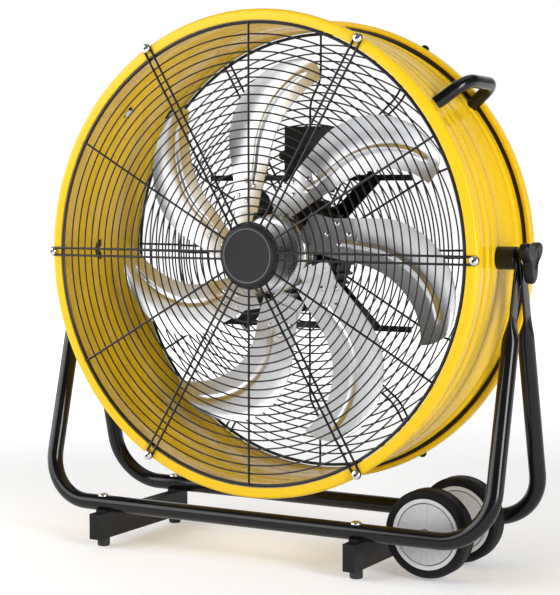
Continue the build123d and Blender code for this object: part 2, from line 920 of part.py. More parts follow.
def leg_frame(side, plate_x):
    """U frame: a bent tube, its upper ends pressed flat and drilled for the pivot stud."""
    plane = leg_plane(side)
    with BuildPart() as frame:
        with BuildLine(plane):
            centre = Polyline(*leg_course())
        with BuildSketch(Plane(origin=centre @ 0, x_dir=(1, 0, 0), z_dir=centre % 0)):
            RegularPolygon(tube_radius, tube_sides)
        sweep(transition=Transition.RIGHT)
        for hand in (-1, 1):
            # Two sloping cuts thin the tube down to the plate.
            with BuildSketch(plane):
                for way in (-1, 1):
                    face = hand * (plate_x + way * plate_thickness / 2)
                    edge = hand * (leg_x + way * tube_radius)
                    beyond = edge + hand * way * tube_radius
                    with BuildLine():
                        Polyline(
                            (edge, -flat_start),
                            (face, -flat_length),
                            (face, 0),
                            (beyond, 0),
                            (beyond, -flat_start),
                            close=True,
                        )
                    make_face()
            extrude(amount=2 * tube_radius, both=True, mode=Mode.SUBTRACT)
            # The plate widens to its full width over the same length; local y points down.
            middle = Plane(
                origin=(hand * plate_x, 0, axis_height), x_dir=plane.z_dir, z_dir=(1, 0, 0)
            )
            with BuildSketch(middle):
                with BuildLine():
                    Polyline(
                        (-tube_radius, flat_start),
                        (-plate_width / 2, flat_length),
                        (-plate_width / 2, 0),
                        (plate_width / 2, 0),
                        (plate_width / 2, flat_length),
                        (tube_radius, flat_start),
                        close=True,
                    )
                make_face()
                RegularPolygon(plate_width / 2, 2 * round_sides)
            extrude(amount=plate_thickness / 2, both=True)
            with BuildSketch(middle):
                RegularPolygon(around(stud_radius + fit_clearance), round_sides)
            extrude(amount=plate_thickness, both=True, mode=Mode.SUBTRACT)
        for x in (left_channel_x, right_channel_x):
            seat = Plane(origin=(x, side * bar_depth, bar_height + tube_radius))
            with BuildSketch(seat):
                Rectangle(2 * (base_bolt_head_radius + bolt_seat_margin), 2 * tube_radius)
            extrude(amount=-bolt_seat_depth, mode=Mode.SUBTRACT)
            with BuildSketch(seat):
                RegularPolygon(base_bolt_radius + fit_clearance, small_sides)
            extrude(amount=-2 * tube_radius, mode=Mode.SUBTRACT)
    return frame.part


save(leg_frame(-1, front_plate_x), "front_leg_frame")
save(leg_frame(1, rear_plate_x), "rear_leg_frame")

bolt_places = [
    (x, side * bar_depth) for x in (left_channel_x, right_channel_x) for side in (-1, 1)
]


def bolt_polygons(radius):
    """The outline of every base bolt, as a polygon with this corner radius."""
    with BuildSketch() as plan:
        with Locations(*bolt_places):
            RegularPolygon(radius, small_sides)
    return plan.sketch


def cross_channel(x):
    """Rectangular tube under both bottom bars."""
    with BuildPart() as channel:
        with BuildSketch(Plane.XZ.offset(-channel_half_length)):
            with Locations((x, foot_height + channel_height / 2)):
                Rectangle(channel_width, channel_height)
                Rectangle(
                    channel_width - 2 * channel_wall,
                    channel_height - 2 * channel_wall,
                    mode=Mode.SUBTRACT,
                )
        extrude(amount=2 * channel_half_length)
        with BuildSketch(Plane.XY.offset(channel_top)):
            with Locations((x, -bar_depth), (x, bar_depth)):
                RegularPolygon(base_bolt_radius + fit_clearance, small_sides)
        extrude(amount=-2 * channel_wall, mode=Mode.SUBTRACT)
    return channel.part


save(cross_channel(left_channel_x), "left_cross_channel")
save(cross_channel(right_channel_x), "right_cross_channel")

with BuildPart() as channel_end_caps:
    for x in (left_channel_x, right_channel_x):
        for side in (-1, 1):
            face = Plane(
                origin=(x, side * channel_half_length, foot_height + channel_height / 2),
                x_dir=(1, 0, 0),
                z_dir=(0, side, 0),
            )
            with BuildSketch(face):
                Rectangle(channel_width, channel_height)
            extrude(amount=cap_plate)
            with BuildSketch(face):
                Rectangle(
                    channel_width - 2 * channel_wall - fit_clearance,
                    channel_height - 2 * channel_wall - fit_clearance,
                )
            extrude(amount=-cap_plug)
save(channel_end_caps.part, "channel_end_caps")

with BuildPart() as rubber_feet:
    with BuildSketch(Plane.XY.offset(foot_height)):
        with Locations(*bolt_places):
            RegularPolygon(foot_radius, round_sides)
    extrude(amount=-foot_height, taper=foot_taper)
save(rubber_feet.part, "rubber_feet")

saddle_top = bar_height - tube_radius + saddle_rise
with BuildPart() as saddle_spacers:
    with BuildSketch(Plane.XY.offset(channel_top)):
        with Locations(*bolt_places):
            Rectangle(saddle_width, saddle_length)
    extrude(amount=saddle_top - channel_top)
    for side in (-1, 1):
        with BuildSketch(Plane.YZ.offset(left_channel_x - channel_width)):
            with Locations((side * bar_depth, bar_height)):
                RegularPolygon(tube_radius, tube_sides, rotation=side * leg_lean)
        extrude(amount=right_channel_x - left_channel_x + 2 * channel_width, mode=Mode.SUBTRACT)
    add(bolt_polygons(base_bolt_radius + fit_clearance).moved(Location((0, 0, channel_top))))
    extrude(amount=saddle_top - channel_top, mode=Mode.SUBTRACT)
save(saddle_spacers.part, "saddle_spacers")

bolt_seat = bar_height + tube_radius - bolt_seat_depth
nut_top = channel_top - channel_wall
with BuildPart() as base_bolts:
    add(bolt_polygons(base_bolt_head_radius).moved(Location((0, 0, bolt_seat))))
    extrude(amount=base_bolt_head_height, taper=30)
    add(bolt_polygons(base_bolt_radius).moved(Location((0, 0, bolt_seat))))
    extrude(amount=nut_top - nut_height - bolt_tail - bolt_seat)
save(base_bolts.part, "base_bolts")

with BuildPart() as base_nuts:
    with BuildSketch(Plane.XY.offset(nut_top)):
        with Locations(*bolt_places):
            RegularPolygon(nut_flats / 2, 6, major_radius=False)
            RegularPolygon(base_bolt_radius + running_clearance, small_sides, mode=Mode.SUBTRACT)
    extrude(amount=-nut_height)
save(base_nuts.part, "base_nuts")


# ------------------------------------------------------------------ wheels


def across_wheels(depth):
    """Plane across the wheel axle at this depth, its normal facing forward."""
    return Plane(origin=(wheel_x, depth, bar_height), x_dir=(1, 0, 0), z_dir=(0, -1, 0))


# The axle lies between the two bottom bars, its ends coped to their round sides.
with BuildPart() as wheel_axle:
    with BuildSketch(across_wheels(bar_depth)):
        Circle(axle_radius)
    extrude(amount=2 * bar_depth)
    for side in (-1, 1):
        with BuildSketch(Plane.YZ.offset(wheel_x - 2 * axle_radius)):
            with Locations((side * bar_depth, bar_height)):
                RegularPolygon(tube_radius, tube_sides, rotation=side * leg_lean)
        extrude(amount=4 * axle_radius, mode=Mode.SUBTRACT)
save(wheel_axle.part, "wheel_axle")

wheel_outer_y = wheel_inner_y + wheel_width
bar_inner_y = bar_depth - tube_radius
sleeve_spans = [
    (-bar_inner_y, -wheel_outer_y - body_gap),
    (-wheel_inner_y + body_gap, wheel_inner_y - body_gap),
    (wheel_outer_y + body_gap, bar_inner_y),
]
with BuildPart() as axle_sleeves:
    for front, rear in sleeve_spans:
        with BuildSketch(across_wheels(rear)):
            RegularPolygon(sleeve_radius, round_sides)
            RegularPolygon(around(axle_radius), round_sides, mode=Mode.SUBTRACT)
        extrude(amount=rear - front)
save(axle_sleeves.part, "axle_sleeves")


def wheel(side, name):
    """Rubber tyre on a moulded disc, which runs on the axle."""
    rear = wheel_outer_y if side > 0 else -wheel_inner_y
    middle = rear - wheel_width / 2
    flat_half = wheel_width / 2 - tyre_shoulder
    with BuildPart() as tyre:
        with BuildSketch(across_wheels(middle)):
            RegularPolygon(wheel_radius, wheel_sides)
        extrude(amount=flat_half, both=True)
        for way in (-1, 1):
            with BuildSketch(across_wheels(middle - way * flat_half)):
                RegularPolygon(wheel_radius, wheel_sides)
            extrude(amount=way * tyre_shoulder, taper=tyre_taper)
        with BuildSketch(across_wheels(middle)):
            RegularPolygon(wheel_rim_radius, wheel_sides)
        extrude(amount=wheel_width, both=True, mode=Mode.SUBTRACT)
    save(tyre.part, f"{name}_tyre")
    with BuildPart() as disc:
        with BuildSketch(across_wheels(rear - wheel_face_inset)):
            RegularPolygon(wheel_rim_radius, wheel_sides)
        extrude(amount=wheel_width - 2 * wheel_face_inset)
        with BuildSketch(across_wheels(rear)):
            RegularPolygon(wheel_hub_radius, round_sides)
        extrude(amount=wheel_width)
        with BuildSketch(across_wheels(rear)):
            RegularPolygon(around(axle_radius + running_clearance), round_sides)
        extrude(amount=wheel_width, mode=Mode.SUBTRACT)
    save(disc.part, f"{name}_disc")


wheel(-1, "front_wheel")
wheel(1, "rear_wheel")


# ------------------------------------------------------------------ pivots and lock knobs

stud_bore = around(stud_radius + stud_clearance)
with BuildPart() as pivot_bosses:
    for hand in (-1, 1):
        with BuildSketch(side_plane(hand * boss_end_x, hand)):
            RegularPolygon(boss_radius, round_sides)
            RegularPolygon(stud_bore, round_sides, mode=Mode.SUBTRACT)
        extrude(amount=drum_radius - boss_radius - boss_end_x)
    with BuildSketch(front_plane(drum_half_depth)):
        Circle(drum_radius)
    extrude(amount=2 * drum_half_depth, mode=Mode.SUBTRACT)
save(pivot_bosses.part, "pivot_bosses")

washer_seat = plates_outer_x + plate_gap
neck_seat = washer_seat + washer_thickness + plate_gap
stud_end = drum_radius + stud_gap
lobe_circle = lock_knob_radius - lobe_radius


def lock_knob(hand, name):
    """Three-lobed knob with a neck and a stud that screws into the drum's boss."""
    with BuildPart() as washer:
        with BuildSketch(side_plane(hand * washer_seat, hand)):
            RegularPolygon(washer_radius, 2 * round_sides)
            RegularPolygon(stud_bore, round_sides, mode=Mode.SUBTRACT)
        extrude(amount=washer_thickness)
    save(washer.part, f"{name}_washer")
    with BuildPart() as knob:
        with BuildSketch(side_plane(hand * stud_end, hand)):
            RegularPolygon(stud_radius, 2 * round_sides)
        extrude(amount=neck_seat - stud_end)
        with BuildSketch(side_plane(hand * neck_seat, hand)):
            RegularPolygon(knob_neck_radius, round_sides)
        extrude(amount=knob_neck_length)
        with BuildSketch(side_plane(hand * (neck_seat + knob_neck_length), hand)):
            RegularPolygon(knob_centre_radius, round_sides)
            with PolarLocations(0, lobe_count, start_angle=lobe_start):
                Rectangle(lobe_circle, lobe_stem, align=(Align.MIN, Align.CENTER))
            with PolarLocations(lobe_circle, lobe_count, start_angle=lobe_start):
                RegularPolygon(lobe_radius, lobe_sides)
        extrude(amount=lock_knob_depth - knob_neck_length)
    save(knob.part, name)


lock_knob(1, "right_lock_knob")
lock_knob(-1, "left_lock_knob")
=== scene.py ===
from math import cos, hypot, pi, radians, sin, sqrt, tan

import bmesh
import bpy
from mathutils import Matrix, Vector


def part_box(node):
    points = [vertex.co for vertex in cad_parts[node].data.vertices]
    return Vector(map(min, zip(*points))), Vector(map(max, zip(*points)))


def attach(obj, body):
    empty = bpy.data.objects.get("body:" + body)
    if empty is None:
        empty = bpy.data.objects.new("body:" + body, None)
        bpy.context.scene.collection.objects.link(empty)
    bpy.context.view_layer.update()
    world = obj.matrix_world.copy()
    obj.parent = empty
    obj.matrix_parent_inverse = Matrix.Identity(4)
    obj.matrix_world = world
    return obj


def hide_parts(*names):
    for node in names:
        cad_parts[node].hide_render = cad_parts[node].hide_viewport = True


# A drum fan: a yellow sheet drum with black wire guards, polished blades, a black motor and
# switch box, two black bent-tube frames, cross channels, transport wheels, handles and lock
# knobs. Lengths are millimetres, the front faces -Y, +Z is up and the floor is at zero.

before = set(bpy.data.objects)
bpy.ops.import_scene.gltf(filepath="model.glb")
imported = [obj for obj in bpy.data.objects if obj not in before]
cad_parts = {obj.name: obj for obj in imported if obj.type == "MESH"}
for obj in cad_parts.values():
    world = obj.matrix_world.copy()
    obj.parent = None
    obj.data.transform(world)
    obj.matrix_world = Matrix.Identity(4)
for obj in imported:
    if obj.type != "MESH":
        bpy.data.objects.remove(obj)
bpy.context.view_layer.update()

MM = 0.001
TO_METRES = Matrix.Scale(MM, 4)

# ---- sizes of the drum and its guards
axis_height = 461.0
drum_radius = 345.0
drum_sheet = 1.5
half_depth = 110.5
rim_radius = 359.9
rim_width = 15.0
ring_wire = 2.4
edge_wire = 5.0
spoke_wire = 3.5
first_ring = 48.0
ring_pitch = 12.5
ring_count = 23
edge_ring = 340.2
spoke_start = 47.0
screw_circle = 356.7
hairpin_gap = 11.0
spoke_pairs = 6
pair_turn = 360 / spoke_pairs
dish_inner = 232.0
dish_outer = 270.0
dish_depth = 35.0
gap_slot_depth = 6.5
badge_face = 6.9
screw_radius = 6.8
screw_height = 4.4
screw_turn = 37
recess_width = 1.3
recess_reach = 3.2

# ---- sizes of the rotor
blade_count = 7
blade_thickness = 2.0
camber_radius = 200.0
blade_pitch = 20.0
blade_sweep = 27.0
blade_rake = 4.0
root_place = (-53.0, -28.0, 95.0)
hub_plate_front = -26.0
hub_radius = 60.0
hub_plate_depth = 16.0
hub_cap_height = 24.0
shaft_hole = 6.05
arm_clearance = 0.2
arm_thickness = 3.0
arm_root = 44.0
arm_tip = 124.0
arm_half = 22.0
arm_taper = 5.0
arm_rounding = 0.82
hub_gap = 0.8
post_radius = 69.4
rivet_across = 10.5
rivet_along = 12.5
rivet_radius = 4.0
rivet_height = 2.4

# ---- sizes of the motor
motor_front = 8.0
motor_rear = 56.0
fin_count = 36
fin_valley = 85.0
fin_crest = 91.8
fin_foot = 0.6
gland_radius = 9.6
gland_place = (-25.0, 53.0, 611.0)
dial_depth = 79.4

# ---- sizes of the stand
tube_radius = 12.5
leg_x = 377.5
bar_depth = 102.0
bar_height = 67.5
bend_radius = 75.0
bend_steps = 16
plate_half_width = 12.0
plate_half_thickness = 2.25
plate_squareness = 0.55
flat_start = 124.0
flat_length = 84.0
front_plate_x = 377.75
rear_plate_x = 382.25
wheel_x = 268.0
wheel_rim = 51.5
wheel_width = 36.0
wheel_inner_y = 39.0
tread_radius = 63.7
seam_radius = 64.3
sleeve_spans = ((-89.5, -75.4), (-38.6, 38.6), (75.4, 89.5))
channel_places = (-271.0, 173.0)
bolt_seat_depth = 1.5
handle_tube = 9.8
handle_course = ((-39, 344.2), (-20, 395), (78, 395), (85, 344.2))
handle_angles = {"right": 39.5, "left": 140.5}

# ---- sizes of the pivots and lock knobs
boss_radius = 16.5
boss_bore = 5.1
boss_face = 375.1
boss_bite = 0.3
knob_face = 387.3
washer_face = 384.9
knob_radius = 36.0
knob_valley = 16.5
knob_neck = 12.0
lobe_count = 3
lobe_turn = 30.0
lobe_start = 8.0
lobe_sharpness = 1.6


# ------------------------------------------------------------------ places

AXIS = Vector((0, 0, axis_height))


def frame_at(origin, x_dir, z_dir):
    """Placement whose local z is z_dir; lengths in it are millimetres."""
    z_axis = Vector(z_dir).normalized()
    x_axis = Vector(x_dir).normalized()
    y_axis = z_axis.cross(x_axis)
    turn = Matrix((x_axis, y_axis, z_axis)).transposed().to_4x4()
    return TO_METRES @ Matrix.Translation(origin) @ turn


def facing_front(x, depth, height):
    """Local x right, local y up, local z forward, at a point given from the floor."""
    return frame_at((x, depth, height), (1, 0, 0), (0, -1, 0))


def facing_rear(x, depth, height):
    """Local x left, local y up, local z backward."""
    return frame_at((x, depth, height), (-1, 0, 0), (0, 1, 0))


def facing_side(x, depth, height, hand):
    """Local z along +X or -X, local y up."""
    return frame_at((x, depth, height), (0, hand, 0), (hand, 0, 0))


def upright(x, depth, height):
    """Local z up."""
    return frame_at((x, depth, height), (1, 0, 0), (0, 0, 1))


def about_fan(angle):
    """Turn about the fan axis, clockwise from the front, in metres."""
    centre = Matrix.Translation(AXIS * MM)
    return centre @ Matrix.Rotation(radians(angle), 4, "Y") @ centre.inverted()


# ------------------------------------------------------------------ shapes
# A shape is (points, faces). A profile is (radius, distance along the axis) pairs.


def joined(shapes):
    points, faces = [], []
    for shape_points, shape_faces in shapes:
        start = len(points)
        points += shape_points
        faces += [[start + corner for corner in face] for face in shape_faces]
    return points, faces


def moved(shape, matrix):
    return [matrix @ point for point in shape[0]], shape[1]


def placed(shape, matrices):
    return joined(moved(shape, matrix) for matrix in matrices)


side_share = 0.45


def rounded(points, radius, steps=4, closed=False):
    """The points with each corner rounded; a rounding takes up under half of a side."""
    points = [Vector(point) for point in points]
    count = len(points)
    result = []
    for number, corner in enumerate(points):
        if not closed and number in (0, count - 1):
            result.append(corner)
            continue
        before, after = points[number - 1] - corner, points[(number + 1) % count] - corner
        reach = min(radius, side_share * before.length, side_share * after.length)
        start = corner + before.normalized() * reach
        end = corner + after.normalized() * reach
        for step in range(steps + 1):
            share = step / steps
            result.append(
                start * (1 - share) ** 2 + corner * 2 * share * (1 - share) + end * share**2
            )
    return result


def bridged(rings, closed_along=False, closed_round=True):
    """Faces between neighbouring rings of equal length, given as lists of points."""
    points = [point for ring in rings for point in ring]
    size = len(rings[0])
    faces = []
    for number in range(len(rings) if closed_along else len(rings) - 1):
        low = number * size
        high = (number + 1) % len(rings) * size
        for corner in range(size if closed_round else size - 1):
            following = (corner + 1) % size
            faces.append((low + corner, low + following, high + following, high + corner))
    return points, faces


def capped(shape, size):
    """A tube of rings with both ends closed by a face."""
    points, faces = shape
    faces = faces + [list(range(size))[::-1], list(range(len(points) - size, len(points)))]
    return points, faces


def angles_round(sides):
    return [2 * pi * number / sides for number in range(sides)]


def turned(profile, sides=96, closed=False, share_at=None):
    """The profile turned round local z; share_at(angle, radius) can scale the radius."""
    rings = []
    for radius, distance in profile:
        ring = []
        for angle in angles_round(sides):
            reach = radius * (share_at(angle, radius) if share_at else 1)
            ring.append(Vector((reach * cos(angle), reach * sin(angle), distance)))
        rings.append(ring)
    return bridged(rings, closed_along=closed)


def stood_up(outline, low, high):
    """Prism of an outline between two distances along local z, its edges a little rounded."""
    edge = min(0.6, (high - low) / 4)
    centre = sum((Vector(point) for point in outline), Vector((0, 0))) / len(outline)
    rings = []
    for inset, distance in ((edge, low), (0, low + edge), (0, high - edge), (edge, high)):
        ring = []
        for point in outline:
            offset = Vector(point) - centre
            shrunk = centre + offset * (1 - inset / max(offset.length, 1))
            ring.append(Vector((shrunk.x, shrunk.y, distance)))
        rings.append(ring)
    return capped(bridged(rings), len(outline))


def wire(course, radius, sides=8, closed=False):
    """Round wire along a course of points, carried along without twist."""
    course = [Vector(point) for point in course]
    count = len(course)
    tangents = []
    for number in range(count):
        before = course[number - 1] if closed or number else course[0]
        after = course[(number + 1) % count] if closed or number < count - 1 else course[-1]
        tangents.append((after - before).normalized())
    side = tangents[0].orthogonal().normalized()
    if closed:
        normal = tangents[0].cross(tangents[count // 4])
        side = normal.normalized()
    rings = []
    for point, tangent in zip(course, tangents):
        side = (side - tangent * side.dot(tangent)).normalized()
        other = tangent.cross(side)
        rings.append(
            [point + side * radius * cos(a) + other * radius * sin(a) for a in angles_round(sides)]
        )
    shape = bridged(rings, closed_along=closed)
    return shape if closed else capped(shape, sides)


# ------------------------------------------------------------------ pieces

weld_distance = 1e-7


def piece(name, shape, material, body, nodes=(), sharp=32):
    """A mesh piece in the row frame that rides on a body and stands for CAD nodes."""
    mesh = bpy.data.meshes.new(name)
    mesh.from_pydata([tuple(point) for point in shape[0]], [], shape[1])
    work = bmesh.new()
    work.from_mesh(mesh)
    bmesh.ops.remove_doubles(work, verts=work.verts, dist=weld_distance)
    bmesh.ops.dissolve_degenerate(work, edges=work.edges, dist=weld_distance / 10)
    bmesh.ops.recalc_face_normals(work, faces=work.faces)
    work.to_mesh(mesh)
    work.free()
    for polygon in mesh.polygons:
        polygon.use_smooth = True
    mesh.set_sharp_from_angle(angle=radians(sharp))
    mesh.materials.append(material)
    obj = bpy.data.objects.new(name, mesh)
    bpy.context.scene.collection.objects.link(obj)
    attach(obj, body)
    if nodes:
        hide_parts(*nodes)
    return obj


# ------------------------------------------------------------------ materials


class Nodes:
    """Short ways to add shader nodes to a material."""

    def __init__(self, name):
        self.material = bpy.data.materials.new(name)
        self.material.use_nodes = True
        self.tree = self.material.node_tree
        self.shader = self.tree.nodes["Principled BSDF"]
        self.coordinates = self.add("ShaderNodeTexCoord").outputs["Object"]

    def add(self, kind, **settings):
        node = self.tree.nodes.new(kind)
        for key, value in settings.items():
            setattr(node, key, value)
        return node

    def link(self, source, target):
        self.tree.links.new(source, target)

    def noise(self, scale, detail=4, stretch=(1, 1, 1), source=None):
        mapping = self.add("ShaderNodeMapping")
        mapping.inputs["Scale"].default_value = stretch
        self.link(source or self.coordinates, mapping.inputs["Vector"])
        noise = self.add("ShaderNodeTexNoise")
        noise.inputs["Scale"].default_value = scale
        noise.inputs["Detail"].default_value = detail
        self.link(mapping.outputs["Vector"], noise.inputs["Vector"])
        return noise.outputs["Fac"]

    def spread(self, value, low, high, start=0.35, end=0.65):
        """Stretch a noise value to a range."""
        node = self.add("ShaderNodeMapRange")
        node.inputs["From Min"].default_value = start
        node.inputs["From Max"].default_value = end
        node.inputs["To Min"].default_value = low
        node.inputs["To Max"].default_value = high
        self.link(value, node.inputs["Value"])
        return node.outputs["Result"]

    def blend(self, value, first, second):
        """Mix two colours by a value."""
        ramp = self.add("ShaderNodeValToRGB")
        ramp.color_ramp.elements[0].color = (*first, 1)
        ramp.color_ramp.elements[1].color = (*second, 1)
        self.link(value, ramp.inputs["Fac"])
        return ramp.outputs["Color"]

    def bump(self, height, strength, distance):
        node = self.add("ShaderNodeBump")
        node.inputs["Strength"].default_value = strength
        node.inputs["Distance"].default_value = distance
        self.link(height, node.inputs["Height"])
        self.link(node.outputs["Normal"], self.shader.inputs["Normal"])

    def set(self, **values):
        for key, value in values.items():
            self.shader.inputs[key.replace("_", " ")].default_value = value


grain = 900.0
grain_height = 0.0002


def finish(name, dark, light, roughness, metallic=0.0, shine=0.5, mottle=9.0, relief=0.15):
    """A painted, plated or moulded surface: soft colour drift, uneven gloss and fine grain."""
    nodes = Nodes(name)
    drift = nodes.spread(nodes.noise(mottle, 6), 0, 1)
    nodes.link(nodes.blend(drift, dark, light), nodes.shader.inputs["Base Color"])
    gloss = nodes.noise(mottle * 5, 5)
    uneven = nodes.spread(gloss, roughness * 0.85, roughness * 1.15)
    nodes.link(uneven, nodes.shader.inputs["Roughness"])
    nodes.bump(nodes.noise(grain, 2), relief, grain_height)
    nodes.set(Metallic=metallic, Specular_IOR_Level=shine)
    return nodes.material


def blade_finish():
    """Polished aluminium with faint grinding lines along the blade."""
    nodes = Nodes("polished_blade")
    lines = nodes.noise(40, 3, stretch=(12, 12, 1))
    tone = nodes.blend(nodes.spread(lines, 0, 1), (0.62, 0.63, 0.65), (0.68, 0.69, 0.71))
    nodes.link(tone, nodes.shader.inputs["Base Color"])
    nodes.link(nodes.spread(lines, 0.3, 0.36), nodes.shader.inputs["Roughness"])
    nodes.set(Metallic=1.0)
    return nodes.material


def disc_finish(dark, light):
    """Moulded grey plastic with spun streaks that run out from the axle."""
    nodes = Nodes("wheel_disc_plastic")
    split = nodes.add("ShaderNodeSeparateXYZ")
    nodes.link(nodes.coordinates, split.inputs["Vector"])
    across = nodes.add("ShaderNodeMath", operation="SUBTRACT")
    across.inputs[1].default_value = wheel_x * MM
    nodes.link(split.outputs["X"], across.inputs[0])
    above = nodes.add("ShaderNodeMath", operation="SUBTRACT")
    above.inputs[1].default_value = bar_height * MM
    nodes.link(split.outputs["Z"], above.inputs[0])
    angle = nodes.add("ShaderNodeMath", operation="ARCTAN2")
    nodes.link(above.outputs[0], angle.inputs[0])
    nodes.link(across.outputs[0], angle.inputs[1])
    around = nodes.add("ShaderNodeCombineXYZ")
    nodes.link(angle.outputs[0], around.inputs["X"])
    streaks = nodes.noise(7, 6, source=around.outputs["Vector"])
    tone = nodes.blend(nodes.spread(streaks, 0, 1), dark, light)
    nodes.link(tone, nodes.shader.inputs["Base Color"])
    nodes.link(nodes.spread(streaks, 0.35, 0.5), nodes.shader.inputs["Roughness"])
    nodes.bump(nodes.noise(1200, 2), 0.1, 0.0001)
    nodes.set(Specular_IOR_Level=0.4)
    return nodes.material


drum_paint = finish(
    "drum_powder_coat",
    (0.775, 0.485, 0.009),
    (0.795, 0.5, 0.01),
    0.25,
    shine=0.24,
    mottle=4,
    relief=0.02,
)
wire_coat = finish("guard_wire_coat", (0.004, 0.004, 0.005), (0.007, 0.007, 0.008), 0.35, shine=0.3)
frame_coat = finish(
    "frame_powder_coat", (0.003, 0.003, 0.004), (0.006, 0.006, 0.007), 0.16, shine=0.32, relief=0.03
)
channel_coat = finish(
    "channel_powder_coat", (0.004, 0.004, 0.005), (0.008, 0.008, 0.009), 0.4, shine=0.25
)
motor_coat = finish(
    "motor_cast_coat", (0.005, 0.005, 0.006), (0.011, 0.011, 0.012), 0.5, shine=0.3, relief=0.4
)
box_plastic = finish(
    "switch_box_plastic", (0.008, 0.008, 0.009), (0.015, 0.015, 0.017), 0.42, shine=0.35
)
knob_plastic = finish(
    "knob_plastic", (0.004, 0.004, 0.005), (0.009, 0.009, 0.01), 0.38, shine=0.3, relief=0.2
)
badge_plastic = finish(
    "badge_plastic", (0.022, 0.022, 0.024), (0.028, 0.028, 0.03), 0.4, shine=0.12
)
badge_line = finish("badge_line", (0.1, 0.1, 0.105), (0.13, 0.13, 0.135), 0.4, shine=0.3)
zinc = finish(
    "zinc_plated_steel", (0.55, 0.56, 0.58), (0.75, 0.76, 0.78), 0.22, metallic=1.0, mottle=60
)
dark_steel = finish("machined_steel", (0.3, 0.3, 0.31), (0.45, 0.45, 0.46), 0.3, metallic=1.0)
copper = finish("stator_laminations", (0.18, 0.1, 0.07), (0.3, 0.17, 0.1), 0.45, metallic=0.8)
tyre_rubber = finish(
    "tyre_rubber", (0.005, 0.005, 0.006), (0.009, 0.009, 0.01), 0.6, shine=0.15, relief=0.3
)
foot_rubber = finish("foot_rubber", (0.012, 0.012, 0.012), (0.022, 0.022, 0.022), 0.7, relief=0.5)
hub_metal = finish(
    "hub_aluminium", (0.6, 0.61, 0.63), (0.68, 0.69, 0.71), 0.3, metallic=1.0, relief=0.03
)
blade_metal = blade_finish()
disc_plastic = disc_finish((0.44, 0.44, 0.445), (0.53, 0.53, 0.535))
disc_rim_plastic = finish("wheel_ring_plastic", (0.54, 0.54, 0.55), (0.6, 0.6, 0.61), 0.4)


# ------------------------------------------------------------------ drum

# The wall's pressed ribs: (depth, rise over the drum's radius).
wall_steps = [
    (-82, 0), (-76, 2.2), (-50, 2.2), (-46, 0), (-41, 0), (-38, 2.0), (-26, 2.0), (-22, 0),
    (-18, 1.8), (-2, 1.8), (3, 0), (40, 0), (44, 1.2), (66, 1.2), (70, 0), (74, 0), (77, 2.4),
    (82, 2.4), (85, 0),
]


def drum_profile():
    """Closed section of the drum: rolled front bead, ribbed wall, rolled rear rim."""
    front, rear = -half_depth, half_depth
    bead = rounded(
        [
            (drum_radius - drum_sheet, front + 3), (drum_radius - drum_sheet, front),
            (rim_radius, front), (rim_radius, front + rim_width),
            (drum_radius, front + rim_width), (drum_radius, front + rim_width + 6),
        ],
        radius=7,
        steps=6,
    )
    ribs = [Vector((drum_radius + rise, depth)) for depth, rise in wall_steps]
    rear_rim = rounded(
        [
            (drum_radius, rear - rim_width - 4), (drum_radius, rear - 3),
            (drum_radius + gap_slot_depth, rear - 3), (drum_radius + gap_slot_depth, rear - rim_width),
            (rim_radius, rear - rim_width), (rim_radius, rear), (drum_radius - drum_sheet, rear),
            (drum_radius - drum_sheet, rear - 8),
        ],
        radius=3.5,
        steps=5,
    )
    inner_ribs = [Vector((rib.x - drum_sheet, rib.y)) for rib in reversed(ribs)]
    return bead + ribs + rear_rim + inner_ribs


on_axis = facing_rear(0, 0, axis_height)
shell = moved(turned(drum_profile(), sides=192, closed=True), on_axis)
piece("drum_body", shell, drum_paint, "drum", ["drum_shell"])

# Dark ring in the slot between the wall and the rear rim, shaped like a seal: painted shade that
# makes the slot read as a deep black gap.
shade_ring_low, shade_ring_high = drum_radius + 0.2, drum_radius + gap_slot_depth - 0.2
shade_ring_front, shade_ring_rear = half_depth - rim_width + 3, half_depth - 5
gap_shade_outline = rounded(
    [
        (shade_ring_low, shade_ring_front), (shade_ring_high, shade_ring_front),
        (shade_ring_high, shade_ring_rear), (shade_ring_low, shade_ring_rear),
    ],
    radius=0.8,
    steps=2,
    closed=True,
)
gap_shade_ring = moved(turned(gap_shade_outline, sides=192, closed=True), on_axis)
piece("rim_gap_shade", gap_shade_ring, knob_plastic, "drum")


# ------------------------------------------------------------------ wire guards


def ring_course(radius, depth, steps=144):
    turns = angles_round(steps)
    return [(radius * cos(turn), depth, axis_height + radius * sin(turn)) for turn in turns]


def dish_at(radius):
    """How far the rear guard is dished out at this radius."""
    share = (dish_outer - radius) / (dish_outer - dish_inner)
    return dish_depth * min(1.0, max(0.0, share))


def ring_size(radius):
    """Wire of the ring at this radius: the outermost ring is the stoutest."""
    return edge_wire if radius == edge_ring else ring_wire


def spun(points, degrees):
    """Pairs turned about the origin."""
    turn = radians(degrees)
    return [(x * cos(turn) - y * sin(turn), x * sin(turn) + y * cos(turn)) for x, y in points]


